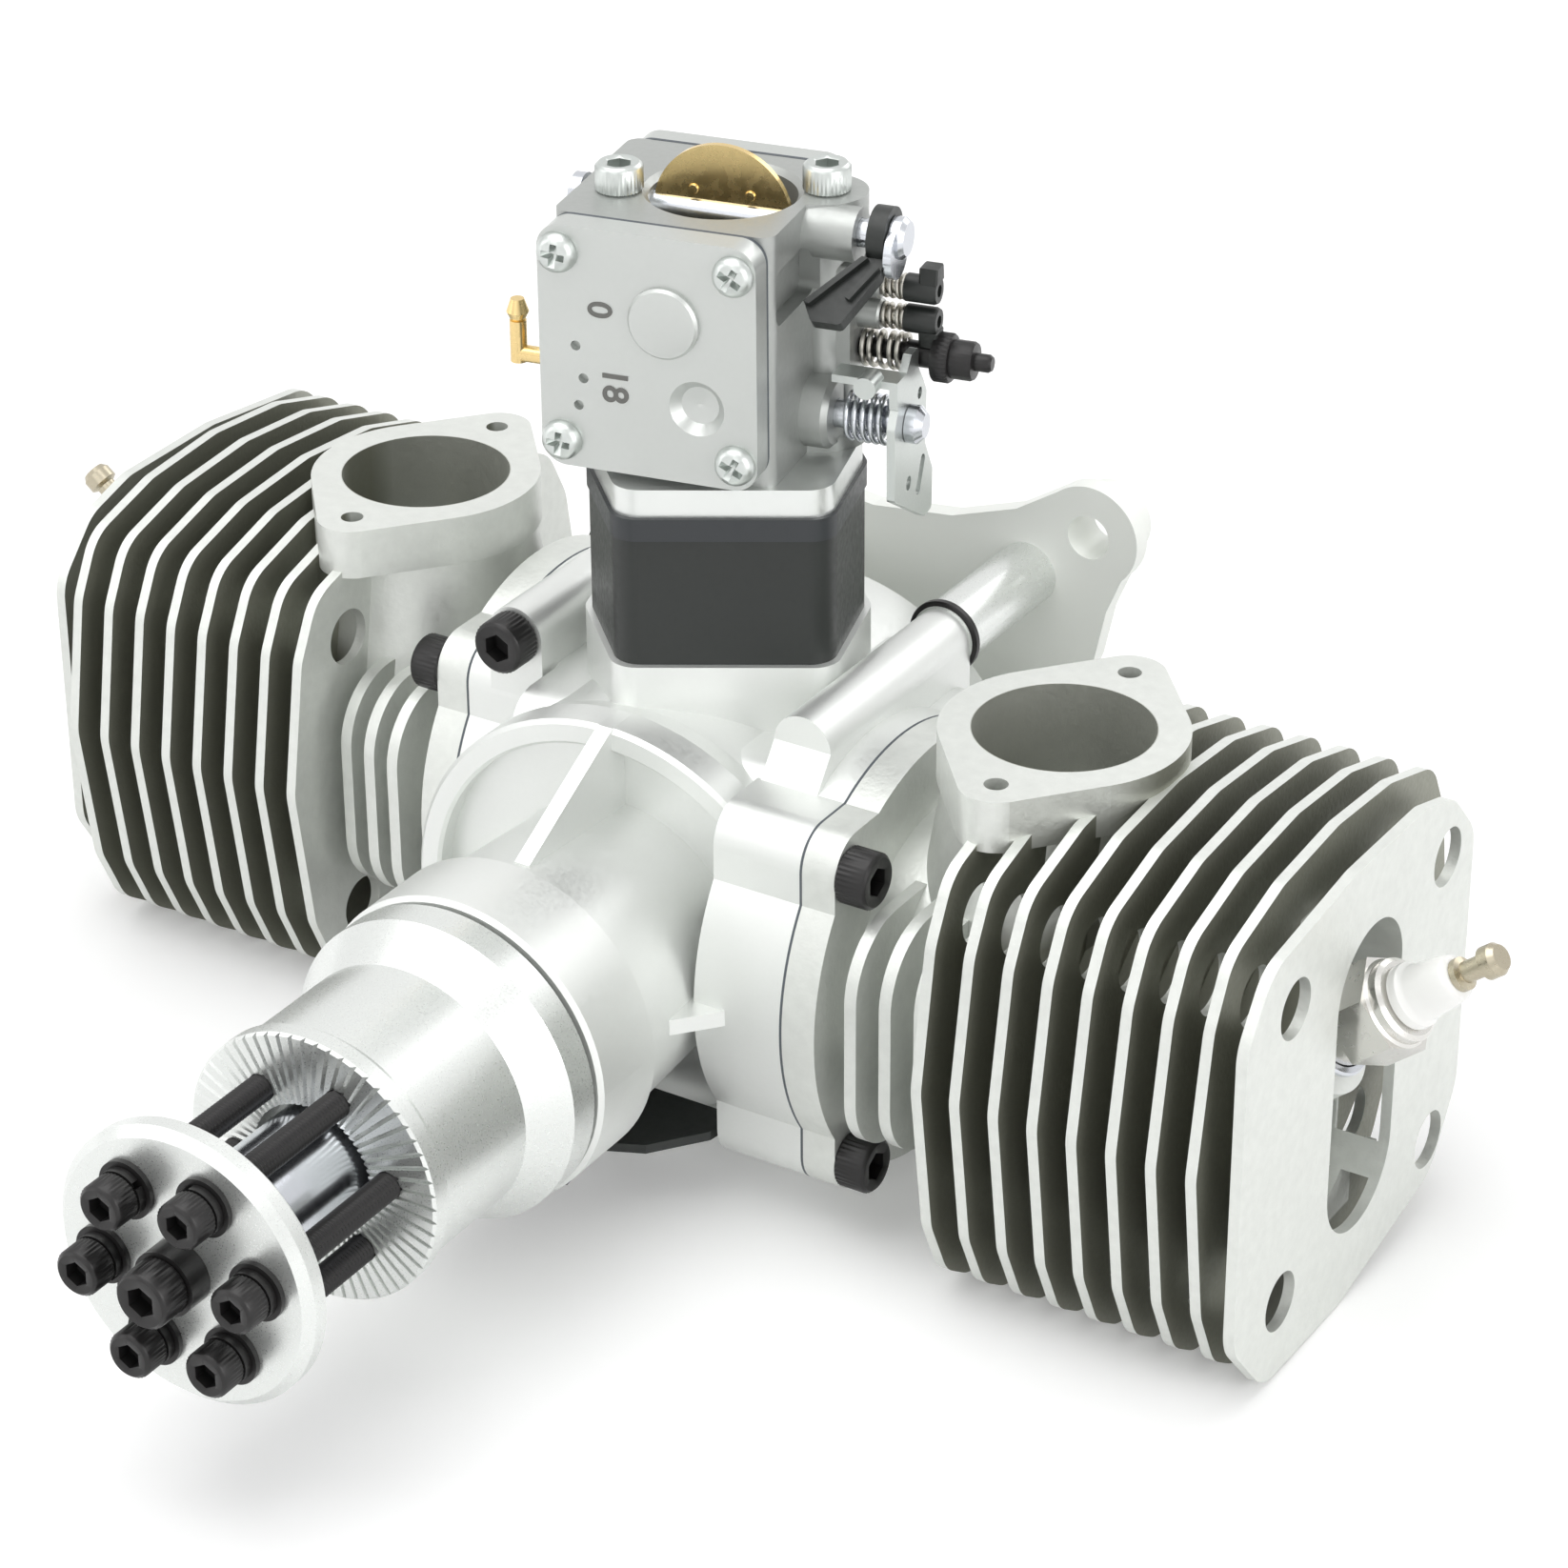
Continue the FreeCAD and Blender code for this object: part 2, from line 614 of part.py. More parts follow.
rib_t = 3
top_rib = extruded("top_rib", [
    (flange_end + 3, root_r - 2), (flange_end + 3, waist_r + 0.2), (rim_front + 0.4, rim_r),
    (pocket_floor + 3, rim_r), (pocket_floor + 3, root_r - 2)], rib_t, (-rib_t / 2, 0, 0),
    Rotation(Vector(1, 1, 1), 120))
side_rib = extruded("side_rib", [
    (waist_r - 4, rim_front - 21), (waist_r - 0.4, rim_front - 21), (rim_r - 4, rim_front - 8),
    (rim_r - 4, pocket_floor + 2), (root_r - 2, pocket_floor + 2)], rib_t, (0, 0, -rib_t / 2))
side_rib_left = copy_of("side_rib_left", side_rib, (0, 0, 0), Rotation(Vector(0, 1, 0), 180))
low_rib = copy_of("low_rib", top_rib, (0, 0, 0), Rotation(Vector(0, 1, 0), 180))

# Hollows of the crankcase.
web_r = size("web_r")
chamber_r = web_r + size("chamber_gap")
chamber_half = size("case_rear") - fit
chamber = rod("chamber", chamber_r, chamber_half * 2 + 1, (0, mid - chamber_half, 0), "y")
rod_w = size("rod_w")
big_r = size("big_end_r")
sweep_r = size("crank_throw") + big_r
relief_w = rod_w + 4
relief_round = rod("relief_round", chamber_r + 3, relief_w, (0, right_y - relief_w / 2, 0), "y")
relief_box = block("relief_box", (join_x - 8, relief_w, sweep_r * 2 + 2),
                   (0, right_y - relief_w / 2, -sweep_r - 1))
bore_r = size("bore_r")
spigot_r = bore_r + size("liner_wall")
spigot_bore = rod("spigot_bore", spigot_r + fit, join_x, (0.5, right_y, 0), "x")
hollow_right = fuse("hollow_right", [relief_round, relief_box, spigot_bore])
hollow_left = copy_of("hollow_left", hollow_right, (0, mid * 2, 0), HALF_TURN)
bearing_r = size("bearing_r")
bearing_w = size("bearing_w")
nose_bore = rod("nose_bore", bearing_r + fit, mid - nose_front, (0, nose_front - 1, 0), "y")
throat_r = size("throat_r")
intake_bore = rod("intake_bore", throat_r, pad_z, (0, mid, 0.5), "z")

base_y = half_y - size("base_bolt_side")
base_z = half_z - size("base_bolt_flat")
m6_r = size("m6_r")


def at_base_screws(name, maker):
    """Calls maker(name, y, z) at the four base screws of the right cylinder."""
    items = []
    for index, (side_y, side_z) in enumerate(((-1, 1), (1, 1), (1, -1), (-1, -1)), start=1):
        items.append(maker(name + "_" + str(index), right_y + base_y * side_y, base_z * side_z))
    return items


tap_len = 14
taps_right = group("taps_right", at_base_screws("base_tap", lambda name, y, z: rod(
    name, m6_r + fit, tap_len + 1, (join_x - tap_len, y, z), "x")))
taps_left = copy_of("taps_left", taps_right, (0, mid * 2, 0), HALF_TURN)
plate_t = size("plate_t")
STUDS = ((-1, stud_top), (-1, -stud_low), (1, stud_top), (1, -stud_low))
stud_holes = []
for index, (place_x, place_z) in enumerate(STUDS, start=1):
    hole_start = boss_left_front - 8 if place_x < 0 else mid - 16
    stud_holes.append(rod(
        "stud_hole_" + str(index), m6_r + fit, 90, (stud_x * place_x, hole_start, place_z), "y"))

case_solid = fuse("case_solid", [
    shell, saddle, side_right, side_left, intake_pad, top_rib, side_rib, side_rib_left, low_rib])
keep("crankcase", cut("crankcase", case_solid, [
    chamber, hollow_right, hollow_left, nose_bore, intake_bore, taps_right, taps_left] + stud_holes))

cover_len = 12
rear_boss_r = 17
keep("rear_cover", cut("rear_cover", turned("rear_cover_body", [
    (0, case_back), (case_r, case_back), (case_r, case_back + cover_len - 6),
    (case_r - 3, case_back + cover_len - 3), (rear_boss_r + 6, case_back + cover_len - 3),
    (rear_boss_r, case_back + cover_len + 4), (0, case_back + cover_len + 4)], turn="y"),
    [rod("rear_bearing_bore", bearing_r - 3, 11, (0, case_back - 1, 0), "y"), side_left, side_right]))

# Finned cylinder with its head, drawn for the right-hand side.
plate_x = size("end_plate_x")
fin_t = size("fin_thick")
fin_pitch = size("fin_pitch")
fin_count = size("fin_count")
base_thick = size("base_thick")
base_in = join_x + size("gasket_thick")
base_out = base_in + base_thick
barrel_r = bore_r + size("barrel_wall")

# Fin corners from the cylinder axis: first number along Y, second along Z.
END_PLATE = [(-46, -29), (-46, 29), (-38, 40), (-8, 43.5), (18, 43), (30, 39.5), (39.8, 29), (39.8, -22),
             (31, -36.5), (-5, -43.5), (-34, -43)]
INNER_FIN = [(-43.5, -26), (-47.6, 3), (-43.2, 29), (-37.5, 40), (-20, 45), (0, 46.6), (20, 45),
             (37.5, 40), (43.2, 29), (47.6, 3), (43.5, -26), (38, -38), (30, -43.5), (-30, -43.5), (-38, -38)]


def fin_sheet(name, corners):
    points = [(-up, right_y + across) for across, up in corners]
    return extruded(name, points, fin_t, (plate_x - fin_t, 0, 0), "x", size("fin_corner_r"))


end_plate = fin_sheet("end_plate", END_PLATE)
inner_fin = fin_sheet("inner_fin", INNER_FIN)
large_fins = [end_plate]
for index in range(1, int(num(fin_count))):
    large_fins.append(copy_of("large_fin_" + str(index), inner_fin, (-fin_pitch * index, 0, 0)))

small_y = size("small_fin_half_y")
small_z = size("small_fin_half_z")
small_fins = []
for index in range(int(sheet.get("small_fin_count"))):
    number = str(index + 1)
    small_fins.append(rounded_block(
        "small_fin_" + number, small_z, small_y - index * 1.2, fin_t + 0.3, 13,
        (size("small_fin_first") + size("small_fin_pitch") * index, right_y, 0), "x"))

base = base_outline("cylinder_base", base_thick, base_in)
liner_in = base_in - size("liner_len")
head_floor = size("head_floor")
barrel = turned("cylinder_barrel", [
    (0, liner_in), (spigot_r - 0.8, liner_in), (spigot_r, liner_in + 0.8), (spigot_r, base_in),
    (barrel_r, base_in), (barrel_r, plate_x - fin_t / 2), (0, plate_x - fin_t / 2)], (0, right_y, 0), "x")

exhaust_x = size("exhaust_x")
exhaust_z = size("exhaust_z")
exhaust_r = size("exhaust_r")
ex_flange_r = size("exhaust_flange_r")
ex_thick = size("exhaust_flange_thick")
ex_bolt = size("exhaust_bolt")
ear = size("exhaust_ear_r")
ex_base = exhaust_z - ex_thick
ex_round = rod("exhaust_round", ex_flange_r, ex_thick, (exhaust_x, right_y, ex_base))

# The flange edge runs straight from the middle round to the rounds of the two ears.
lean = (ex_flange_r - ear) / ex_bolt
across = root(1 - lean * lean)
wide_x = ex_flange_r * across
wide_y = ex_flange_r * lean
ear_x = ear * across
ear_y = ex_bolt + ear * lean
ex_diamond = extruded("exhaust_diamond", [
    (exhaust_x - wide_x, right_y - wide_y), (exhaust_x - ear_x, right_y - ear_y),
    (exhaust_x + ear_x, right_y - ear_y), (exhaust_x + wide_x, right_y - wide_y),
    (exhaust_x + wide_x, right_y + wide_y), (exhaust_x + ear_x, right_y + ear_y),
    (exhaust_x - ear_x, right_y + ear_y), (exhaust_x - wide_x, right_y + wide_y)],
    ex_thick, (0, 0, ex_base))
ex_ears = [rod("exhaust_ear_front", ear, ex_thick, (exhaust_x, right_y - ex_bolt, ex_base)),
           rod("exhaust_ear_rear", ear, ex_thick, (exhaust_x, right_y + ex_bolt, ex_base))]
ex_neck = cone("exhaust_neck", exhaust_r + 9, exhaust_r + 4.5, ex_base - barrel_r / 2,
               (exhaust_x, right_y, barrel_r / 2))


def stand(name, items, at, axis, angle):
    """A set of pieces drawn in their own frame, then stood at a point and turned about an axis."""
    item = group(name, items)
    place(item, at, Rotation(axis, num(angle)))
    bind(item, "Placement.Rotation.Angle", angle)
    return item


seat_x = size("plug_seat_x")
seat_z = size("plug_seat_z")


def on_plug(name, items):
    """Pieces drawn along Z from the plug seat, stood on the right-hand plug axis."""
    return stand(name, items, (seat_x, right_y, seat_z), Vector(0, 1, 0), 90 - size("plug_angle"))


cylinder_solid = fuse("cylinder_solid", large_fins + small_fins + [
    base, barrel, ex_round, ex_diamond, ex_neck] + ex_ears)
crown_x = size("crank_throw") + size("rod_len") + size("crown_h")
chamber_top = size("chamber_top")
bore = turned("cylinder_bore", [
    (0, liner_in - 1), (bore_r, liner_in - 1), (bore_r, crown_x + 1), (bore_r * 0.5, chamber_top),
    (0, chamber_top)], (0, right_y, 0), "x")
ex_bore = rod("exhaust_bore", exhaust_r, exhaust_z, (exhaust_x, right_y, barrel_r + 2))
ex_port = rounded_block("exhaust_port", exhaust_r - 4, exhaust_r - 2, barrel_r + 2, 6,
                        (exhaust_x, right_y, 2))
tap_r = size("m5_tap_r")
ex_taps = []
for side in (-1, 1):
    ex_taps.append(rod("exhaust_tap_" + str(side + 2), tap_r, ex_thick + 2,
                       (exhaust_x, right_y + ex_bolt * side, ex_base - 1)))
access_r = size("access_r")
fins_in = plate_x - fin_pitch * (fin_count - 1) - fin_t - 1
access = at_base_screws("access", lambda name, y, z: rod(name, access_r, plate_x, (fins_in, y, z), "x"))
screw_way = at_base_screws("base_hole", lambda name, y, z: rod(
    name, m6_r + 0.25, base_thick + 2, (base_in - 1, y, z), "x"))
slot_r = size("plug_slot_r")
slot_half = size("plug_slot_half")
slot_deep = plate_x - head_floor + 1
slot_cut = rounded_block("plug_slot", slot_half + slot_r, slot_r, slot_deep, slot_r - 0.05,
                         (head_floor, right_y, 0), "x")
low_pocket = rod("low_pocket", slot_r - 1.5, slot_deep, (head_floor - 4, right_y, -slot_half), "x")
head_window = block("head_window", (fin_pitch + 1, 20, 24),
                    (plate_x - fin_t - fin_pitch - 1, right_y + 12, -28))
thread_r = 5
plug_boss = on_plug("plug_boss", [rod("plug_boss_rod", thread_r + 5.5, 14, (0, 0, -14))])
plug_ways = on_plug("plug_ways", [
    rod("plug_way", slot_r - 0.4, 40), rod("plug_thread", thread_r + fit, 30, (0, 0, -20))])
ring_boss = turned("ring_boss", [
    (3.2, head_floor - 5), (6.8, head_floor - 5), (6.8, head_floor + 3), (5.6, head_floor + 4.2),
    (3.2, head_floor + 4.2)], (0, right_y, -slot_half), "x")
open_head = cut("open_head", cylinder_solid, [slot_cut, low_pocket, head_window] + access)
headed = fuse("headed", [open_head, plug_boss, ring_boss])
both_sides("cylinder", cut("cylinder_drawn", headed, [
    bore, ex_bore, ex_port, plug_ways] + ex_taps + screw_way))

gasket_t = size("gasket_thick")
gasket_holes = at_base_screws("gasket_hole", lambda name, y, z: rod(
    name, m6_r + 0.25, gasket_t + 2, (join_x - 1, y, z), "x"))
both_sides("base_gasket", cut("base_gasket_drawn", base_outline("base_gasket_sheet", gasket_t, join_x), [
    rod("gasket_bore", spigot_r + 0.1, gasket_t + 2, (join_x - 1, right_y, 0), "x")] + gasket_holes))

m6_head_r = size("m6_head_r")
m6_head_len = size("m6_head_len")
base_screw = cap_screw("base_screw", m6_r, m6_head_r, m6_head_len, base_thick + gasket_t + tap_len - 1,
                       (base_out, 0, 0), "-x")
both_sides("base_screws", group("base_screws_drawn", at_base_screws(
    "base_screw", lambda name, y, z: copy_of(name, base_screw, (0, y, z)))))


def hexagon(across_flats):
    half = across_flats / 2
    reach = half * 1.1547
    return [(reach, 0), (reach / 2, half), (-reach / 2, half), (-reach, 0), (-reach / 2, -half),
            (reach / 2, -half)]


# Spark plug, drawn upwards from its seat.
hex_low = 8
hex_top = 16.5
shell_turn = turned("plug_shell_turned", [
    (0, -12.7), (thread_r - 0.7, -12.7), (thread_r, -12), (thread_r, 0), (7.4, 0), (7.4, 1.6),
    (6.6, 2), (6.6, hex_low), (7.9, hex_low), (7.9, hex_top), (7.4, hex_top + 0.4), (7.4, hex_top + 2),
    (6.6, hex_top + 2.6), (0, hex_top + 2.6)])
shell_hex = extruded("plug_shell_hex", hexagon(size("plug_hex")), hex_top - hex_low, (0, 0, hex_low))
insulator_foot = hex_top + 1
shell_bore = rod("plug_shell_bore", 5.2 + fit, 4, (0, 0, insulator_foot))
both_sides("plug_shell", on_plug("plug_shell_drawn", [
    cut("plug_shell_body", fuse("plug_shell_solid", [shell_turn, shell_hex]), [shell_bore])]))
insulator_top = 30.5
both_sides("plug_insulator", on_plug("plug_insulator_drawn", [turned("plug_insulator_turned", [
    (0, insulator_foot + fit), (5.2, insulator_foot + fit), (5.2, insulator_foot + 3), (4.9, 22),
    (3.7, insulator_top - 0.6), (3.1, insulator_top), (0, insulator_top)])]))
both_sides("plug_terminal", on_plug("plug_terminal_drawn", [turned("plug_terminal_turned", [
    (0, insulator_top + fit), (2.9, insulator_top + fit), (2.9, insulator_top + 1.2),
    (1.9, insulator_top + 1.6),
    (1.9, insulator_top + 5.4), (2.9, insulator_top + 6), (2.9, insulator_top + 8.2),
    (2.2, insulator_top + 9.2), (0, insulator_top + 9.2)])]))

# Intake stack: insulator block, dark gasket plate and aluminium adapter plate.
upright = Vector(0, 0, 1)
stack_angle = size("stack_angle")
carb_screw = size("carb_screw")
insulator_h = size("insulator_h")
liner_h = size("liner_plate_h")
adapter_h = size("adapter_h")
liner_z = pad_z + insulator_h
adapter_z = liner_z + liner_h
carb_z = adapter_z + adapter_h


def stack_holes(name, radius, start, height):
    """Throat and two screw holes of one layer of the intake stack."""
    items = [rod(name + "_throat", throat_r, height, (0, mid, start))]
    screws = [rod(name + "_left", radius, height, (-carb_screw, 0, 0)),
              rod(name + "_right", radius, height, (carb_screw, 0, 0))]
    items.append(stand(name + "_screws", screws, (0, mid, start), upright, stack_angle))
    return items


keep("insulator_block", cut(
    "insulator_block", stack_outline("insulator_solid", insulator_h, pad_z),
    stack_holes("insulator_hole", m5_r + 0.3, pad_z - 1, insulator_h + 2)))
keep("gasket_plate", cut(
    "gasket_plate", stack_outline("gasket_plate_solid", liner_h, liner_z, -0.4),
    stack_holes("gasket_plate_hole", m5_r + 0.3, liner_z - 1, liner_h + 2)))
keep("adapter_plate", cut(
    "adapter_plate", stack_outline("adapter_solid", adapter_h, adapter_z, 0.4),
    stack_holes("adapter_hole", m5_r + fit, adapter_z - 1, adapter_h + 2)))

# Carburettor, drawn in its own frame: across, rearwards and up from the throat at its base.
carb_h = size("carb_h")
carb_front = size("carb_front")
carb_back = size("carb_back")
carb_left = size("carb_left")
carb_right = size("carb_right")
carb_angle = size("carb_angle")
ear_r = size("ear_r")
throttle_up = size("throttle_up")
choke_up = carb_h - size("choke_drop")
lever_r = size("lever_shaft_r")
plate_thick = size("plate_thick")
butterfly_r = throat_r - size("plate_gap")
venturi_r = size("venturi_r")
screw_turn = stack_angle - carb_angle


def on_carb(name, items):
    return stand(name, items, (0, mid, carb_z), upright, carb_angle)


def on_ears(name, items):
    """Pieces drawn on the line of the two mounting screws, turned into the carburettor frame."""
    return stand(name, items, (0, 0, 0), upright, screw_turn)


carb_block = extruded("carb_block", [
    (-carb_left, -carb_front), (carb_right, -carb_front), (carb_right, carb_back),
    (-carb_left, carb_back)], carb_h, corner=2.5)
foot_h = 2.5
head_h = 7
ears = []
for side, word in ((-1, "left"), (1, "right")):
    for level, start, height in (("foot", 0, foot_h), ("head", carb_h - head_h, head_h)):
        label = "ear_" + word + "_" + level
        ears.append(rod(label, ear_r, height, (carb_screw * side, 0, start)))
        ears.append(block(label + "_web", (carb_screw, ear_r * 2, height),
                          (0 if side > 0 else -carb_screw, -ear_r, start)))
    ears.append(rod("ear_" + word + "_post", ear_r - 2.2, carb_h, (carb_screw * side, 0, 0)))
ear_set = on_ears("ear_set", [fuse("ears", ears)])
throttle_boss = turned("throttle_boss", [
    (0, carb_right - 2), (6.5, carb_right - 2), (6.5, carb_right + 4), (5.6, carb_right + 5),
    (0, carb_right + 5)],
    (0, 0, throttle_up), "x")
choke_boss = turned("choke_boss", [
    (0, carb_right - 2), (4.8, carb_right - 2), (4.8, carb_right + 9.2), (0, carb_right + 9.2)],
    (0, 0, choke_up - 0.5), "x")
needle_block = rounded_block("needle_block", 11, 5.6, 7, 2, (carb_right - 0.5, 7.6, carb_h / 2 + 0.5), "x")
left_face = -carb_left - 3
left_boss = rounded_block("left_boss", 7.5, 8, 4, 3, (left_face + 4, 1, 19.2), "-x")
throat = turned("carb_throat", [
    (0, -1), (throat_r, -1), (throat_r, throttle_up + 7), (venturi_r, 23), (venturi_r, 26),
    (throat_r, choke_up - 4.5), (throat_r, carb_h - 1), (throat_r + 1, carb_h), (throat_r + 1, carb_h + 2),
    (0, carb_h + 2)])
spindle_ways = [
    rod("throttle_way", lever_r + slide, 80, (-40, 0, throttle_up), "x"),
    rod("choke_way", lever_r + slide, 80, (-40, 0, choke_up), "x")]
ear_ways = on_ears("ear_ways", [
    rod("ear_way_left", m5_r + 0.3, carb_h + 2, (-carb_screw, 0, -1)),
    rod("ear_way_right", m5_r + 0.3, carb_h + 2, (carb_screw, 0, -1))])
needle_up = (29.2, 23.5)
idle_up = 17
needle_w = 8
needle_r = 2
needle_in = carb_right + 4.5
needle_ways = []
for index, up in enumerate(needle_up, start=1):
    needle_ways.append(rod(
        "needle_way_" + str(index), needle_r + fit, 6, (needle_in - 0.2, needle_w, up), "x"))
needle_ways.append(rod("idle_way", needle_r + fit, 6, (needle_in - 0.2, needle_w, idle_up), "x"))
elbow_r = 2.1
elbow_up = 15.6
elbow_w = -12
elbow_way = rod("elbow_way", elbow_r + fit, 5, (-carb_left - 1, elbow_w, elbow_up), "x")
side_hollow = rounded_block("side_hollow", 5, 9, 4, 2, (carb_right - 2.6, -7.5, 34), "x")
cover_u = size("cover_mid_u")
cover_w = size("cover_half_w")
cover_h = carb_h / 2 - size("cover_margin")
cover_t = size("cover_thick")
cover_gasket = size("cover_gasket")
cover_corner = size("cover_corner_r")
cover_z = carb_h / 2 + 0.85
cover_screw_u = size("cover_screw_u")
cover_screw_z = size("cover_screw_z")
COVER_CORNERS = ((-1, -1), (1, -1), (1, 1), (-1, 1))
cover_screw_r = 2
cover_taps = []
for index, (side_u, side_z) in enumerate(COVER_CORNERS, start=1):
    cover_taps.append(rod("cover_tap_" + str(index), cover_screw_r + fit, 16, (
        cover_u + cover_screw_u * side_u, -carb_front - cover_gasket - cover_t - 1,
        cover_z + cover_screw_z * side_z), "y"))
cover_taps.append(rod("pump_tap", cover_screw_r + fit, 17, (cover_u, carb_back - 10, cover_z), "y"))
carb_solid = fuse("carb_solid", [
    carb_block, ear_set, throttle_boss, choke_boss, needle_block, left_boss])
keep("carb_body", on_carb("carb_body", [cut("carb_body_drawn", carb_solid, [
    throat, ear_ways, elbow_way, side_hollow] + spindle_ways + needle_ways + cover_taps)]))


def cover_sheet(name, thick, at_w, screws):
    """A flat piece with the cover outline, standing across the carburettor at the given depth."""
    outline = rounded_block(name + "_sheet", cover_w, cover_h, thick, cover_corner,
                            (cover_u, at_w, cover_z), "y")
    return cut(name + "_drawn", outline, [group(name + "_holes", screws)])


front_in = -carb_front - cover_gasket
keep("cover_gaskets", on_carb("cover_gaskets", [
    cover_sheet("metering_gasket", cover_gasket, front_in, cover_taps[:4]),
    cover_sheet("pump_gasket", cover_gasket, carb_back, cover_taps[4:])]))
cover_face = front_in - cover_t
vent_at = (-1.5, 30.8)
vent_rise = 1.2
vent_boss = turned("vent_boss", [
    (0, -vent_rise), (5.9, -vent_rise), (6.4, 0.5 - vent_rise), (6.4, cover_t), (0, cover_t)],
    (vent_at[0], cover_face, vent_at[1]), "y")
dimple = turned("cover_dimple", [
    (0, -1), (5, -1), (5, 0), (3.4, 1.7), (0, 2.2)], (4.2, cover_face, 15.8), "y")
small_holes = []
for index, (hole_u, hole_z) in enumerate(((-17.8, 24.3), (-16.5, 18.4), (-17.5, 13.3)), start=1):
    small_holes.append(rod("cover_hole_" + str(index), 0.9, 1.6, (hole_u, cover_face - 0.1, hole_z), "y"))
vent = rod("vent", 1.1, cover_t - 1, (vent_at[0], cover_face - vent_rise - 0.1, vent_at[1]), "y")
keep("metering_cover", on_carb("metering_cover", [cut("metering_cover_drawn", fuse("metering_cover_solid", [
    cover_sheet("metering_plate", cover_t, cover_face, cover_taps[:4]), vent_boss]),
    [dimple, vent] + small_holes)]))
pump_in = carb_back + cover_gasket
pump_t = 4
keep("pump_cover", on_carb("pump_cover", [
    cover_sheet("pump_plate", pump_t, pump_in, cover_taps[4:])]))


def pan_screw(name, length, at, turn):
    """A pan head screw with a plain cross; its local Z runs down the shank."""
    head = turned(name + "_turned", [
        (0, length), (cover_screw_r, length), (cover_screw_r, 0), (3.6, 0), (3.6, -0.9), (2.9, -1.9),
        (1.4, -2.4), (0, -2.4)], at, turn)
    return head


cover_screws = []
for index, (side_u, side_z) in enumerate(COVER_CORNERS, start=1):
    cover_screws.append(pan_screw("cover_screw_" + str(index), 14, (
        cover_u + cover_screw_u * side_u, cover_face, cover_z + cover_screw_z * side_z), "y"))
cover_screws.append(pan_screw("pump_screw", 13, (cover_u, pump_in + pump_t, cover_z), "-y"))
keep("cover_screws", on_carb("cover_screws", cover_screws))

carb_shank = carb_h + adapter_h - 0.6
keep("carb_screws", on_carb("carb_screws", [on_ears("carb_screw_pair", [
    cap_screw("carb_screw_left", m5_r, m5_head_r, m5_head_len, carb_shank, (-carb_screw, 0, carb_h), "-z"),
    cap_screw("carb_screw_right", m5_r, m5_head_r, m5_head_len, carb_shank, (carb_screw, 0, carb_h), "-z")
])]))

elbow_len = 10.4
elbow_rise = 10.2
elbow_out = -carb_left - fit - elbow_len
keep("fuel_elbow", on_carb("fuel_elbow", [fuse("fuel_elbow_solid", [
    turned("elbow_root", [
        (0, 0), (1.5, 0), (1.5, elbow_len - 2), (3, elbow_len - 2), (3, elbow_len), (elbow_r, elbow_len),
        (elbow_r, elbow_len + 3), (0, elbow_len + 3)], (elbow_out, elbow_w, elbow_up), "x"),
    turned("elbow_tip", [
        (0, -1.5), (1.5, -1.5), (1.5, elbow_rise - 4), (1.2, elbow_rise - 4), (2, elbow_rise - 2.4),
        (1.2, elbow_rise), (0, elbow_rise)], (elbow_out + 0.6, elbow_w, elbow_up))])]))

# Throttle and choke spindles with their butterflies and levers.
throttle_end = 37
keep("throttle_shaft", on_carb("throttle_shaft", [turned("throttle_shaft_turned", [
    (0, -carb_left - 3.3), (3.8, -carb_left - 3.3), (3.8, -carb_left - 1.7), (lever_r, -carb_left - 1.7),
    (lever_r, throttle_end - 3), (3.4, throttle_end - 3), (3.4, throttle_end - 1.2), (2.2, throttle_end),
    (0, throttle_end)], (0, 0, throttle_up), "x")]))
choke_end = 33.6
choke_lug = rod("choke_lug", 4.6, 1.4, (choke_end - 2.6, -1.4, choke_up - 2.2), "x")
keep("choke_shaft", on_carb("choke_shaft", [fuse("choke_shaft_solid", [choke_lug, turned(
    "choke_shaft_turned", [
    (0, -carb_left - 3.4), (4, -carb_left - 3.4), (4, -carb_left - 1.4), (lever_r, -carb_left - 1.4),
    (lever_r, choke_end - 2.6), (3.7, choke_end - 2.6), (3.7, choke_end - 0.8), (3, choke_end),
    (0, choke_end)], (0, 0, choke_up), "x")])]))


def butterfly(name, up, turn):
    """A disc lying along the spindle, with a clamping rib that carries its two screws."""
    disc = rod(name + "_disc", butterfly_r, plate_thick, (0, 0, -plate_thick / 2))
    cut_disc = cut(name + "_slit", disc, [rod(name + "_spindle", lever_r + fit, 60, (-30, 0, 0), "x")])
    return stand(name + "_drawn", [cut_disc], (0, 0, up), Vector(1, 0, 0), turn)


THROTTLE_REST = 8
keep("throttle_plate", on_carb("throttle_plate", [
    butterfly("throttle_butterfly", throttle_up, THROTTLE_REST)]))
keep("choke_plate", on_carb("choke_plate", [butterfly("choke_butterfly", choke_up, 90)]))

lever_u = 32.4
lever_t = 1.5
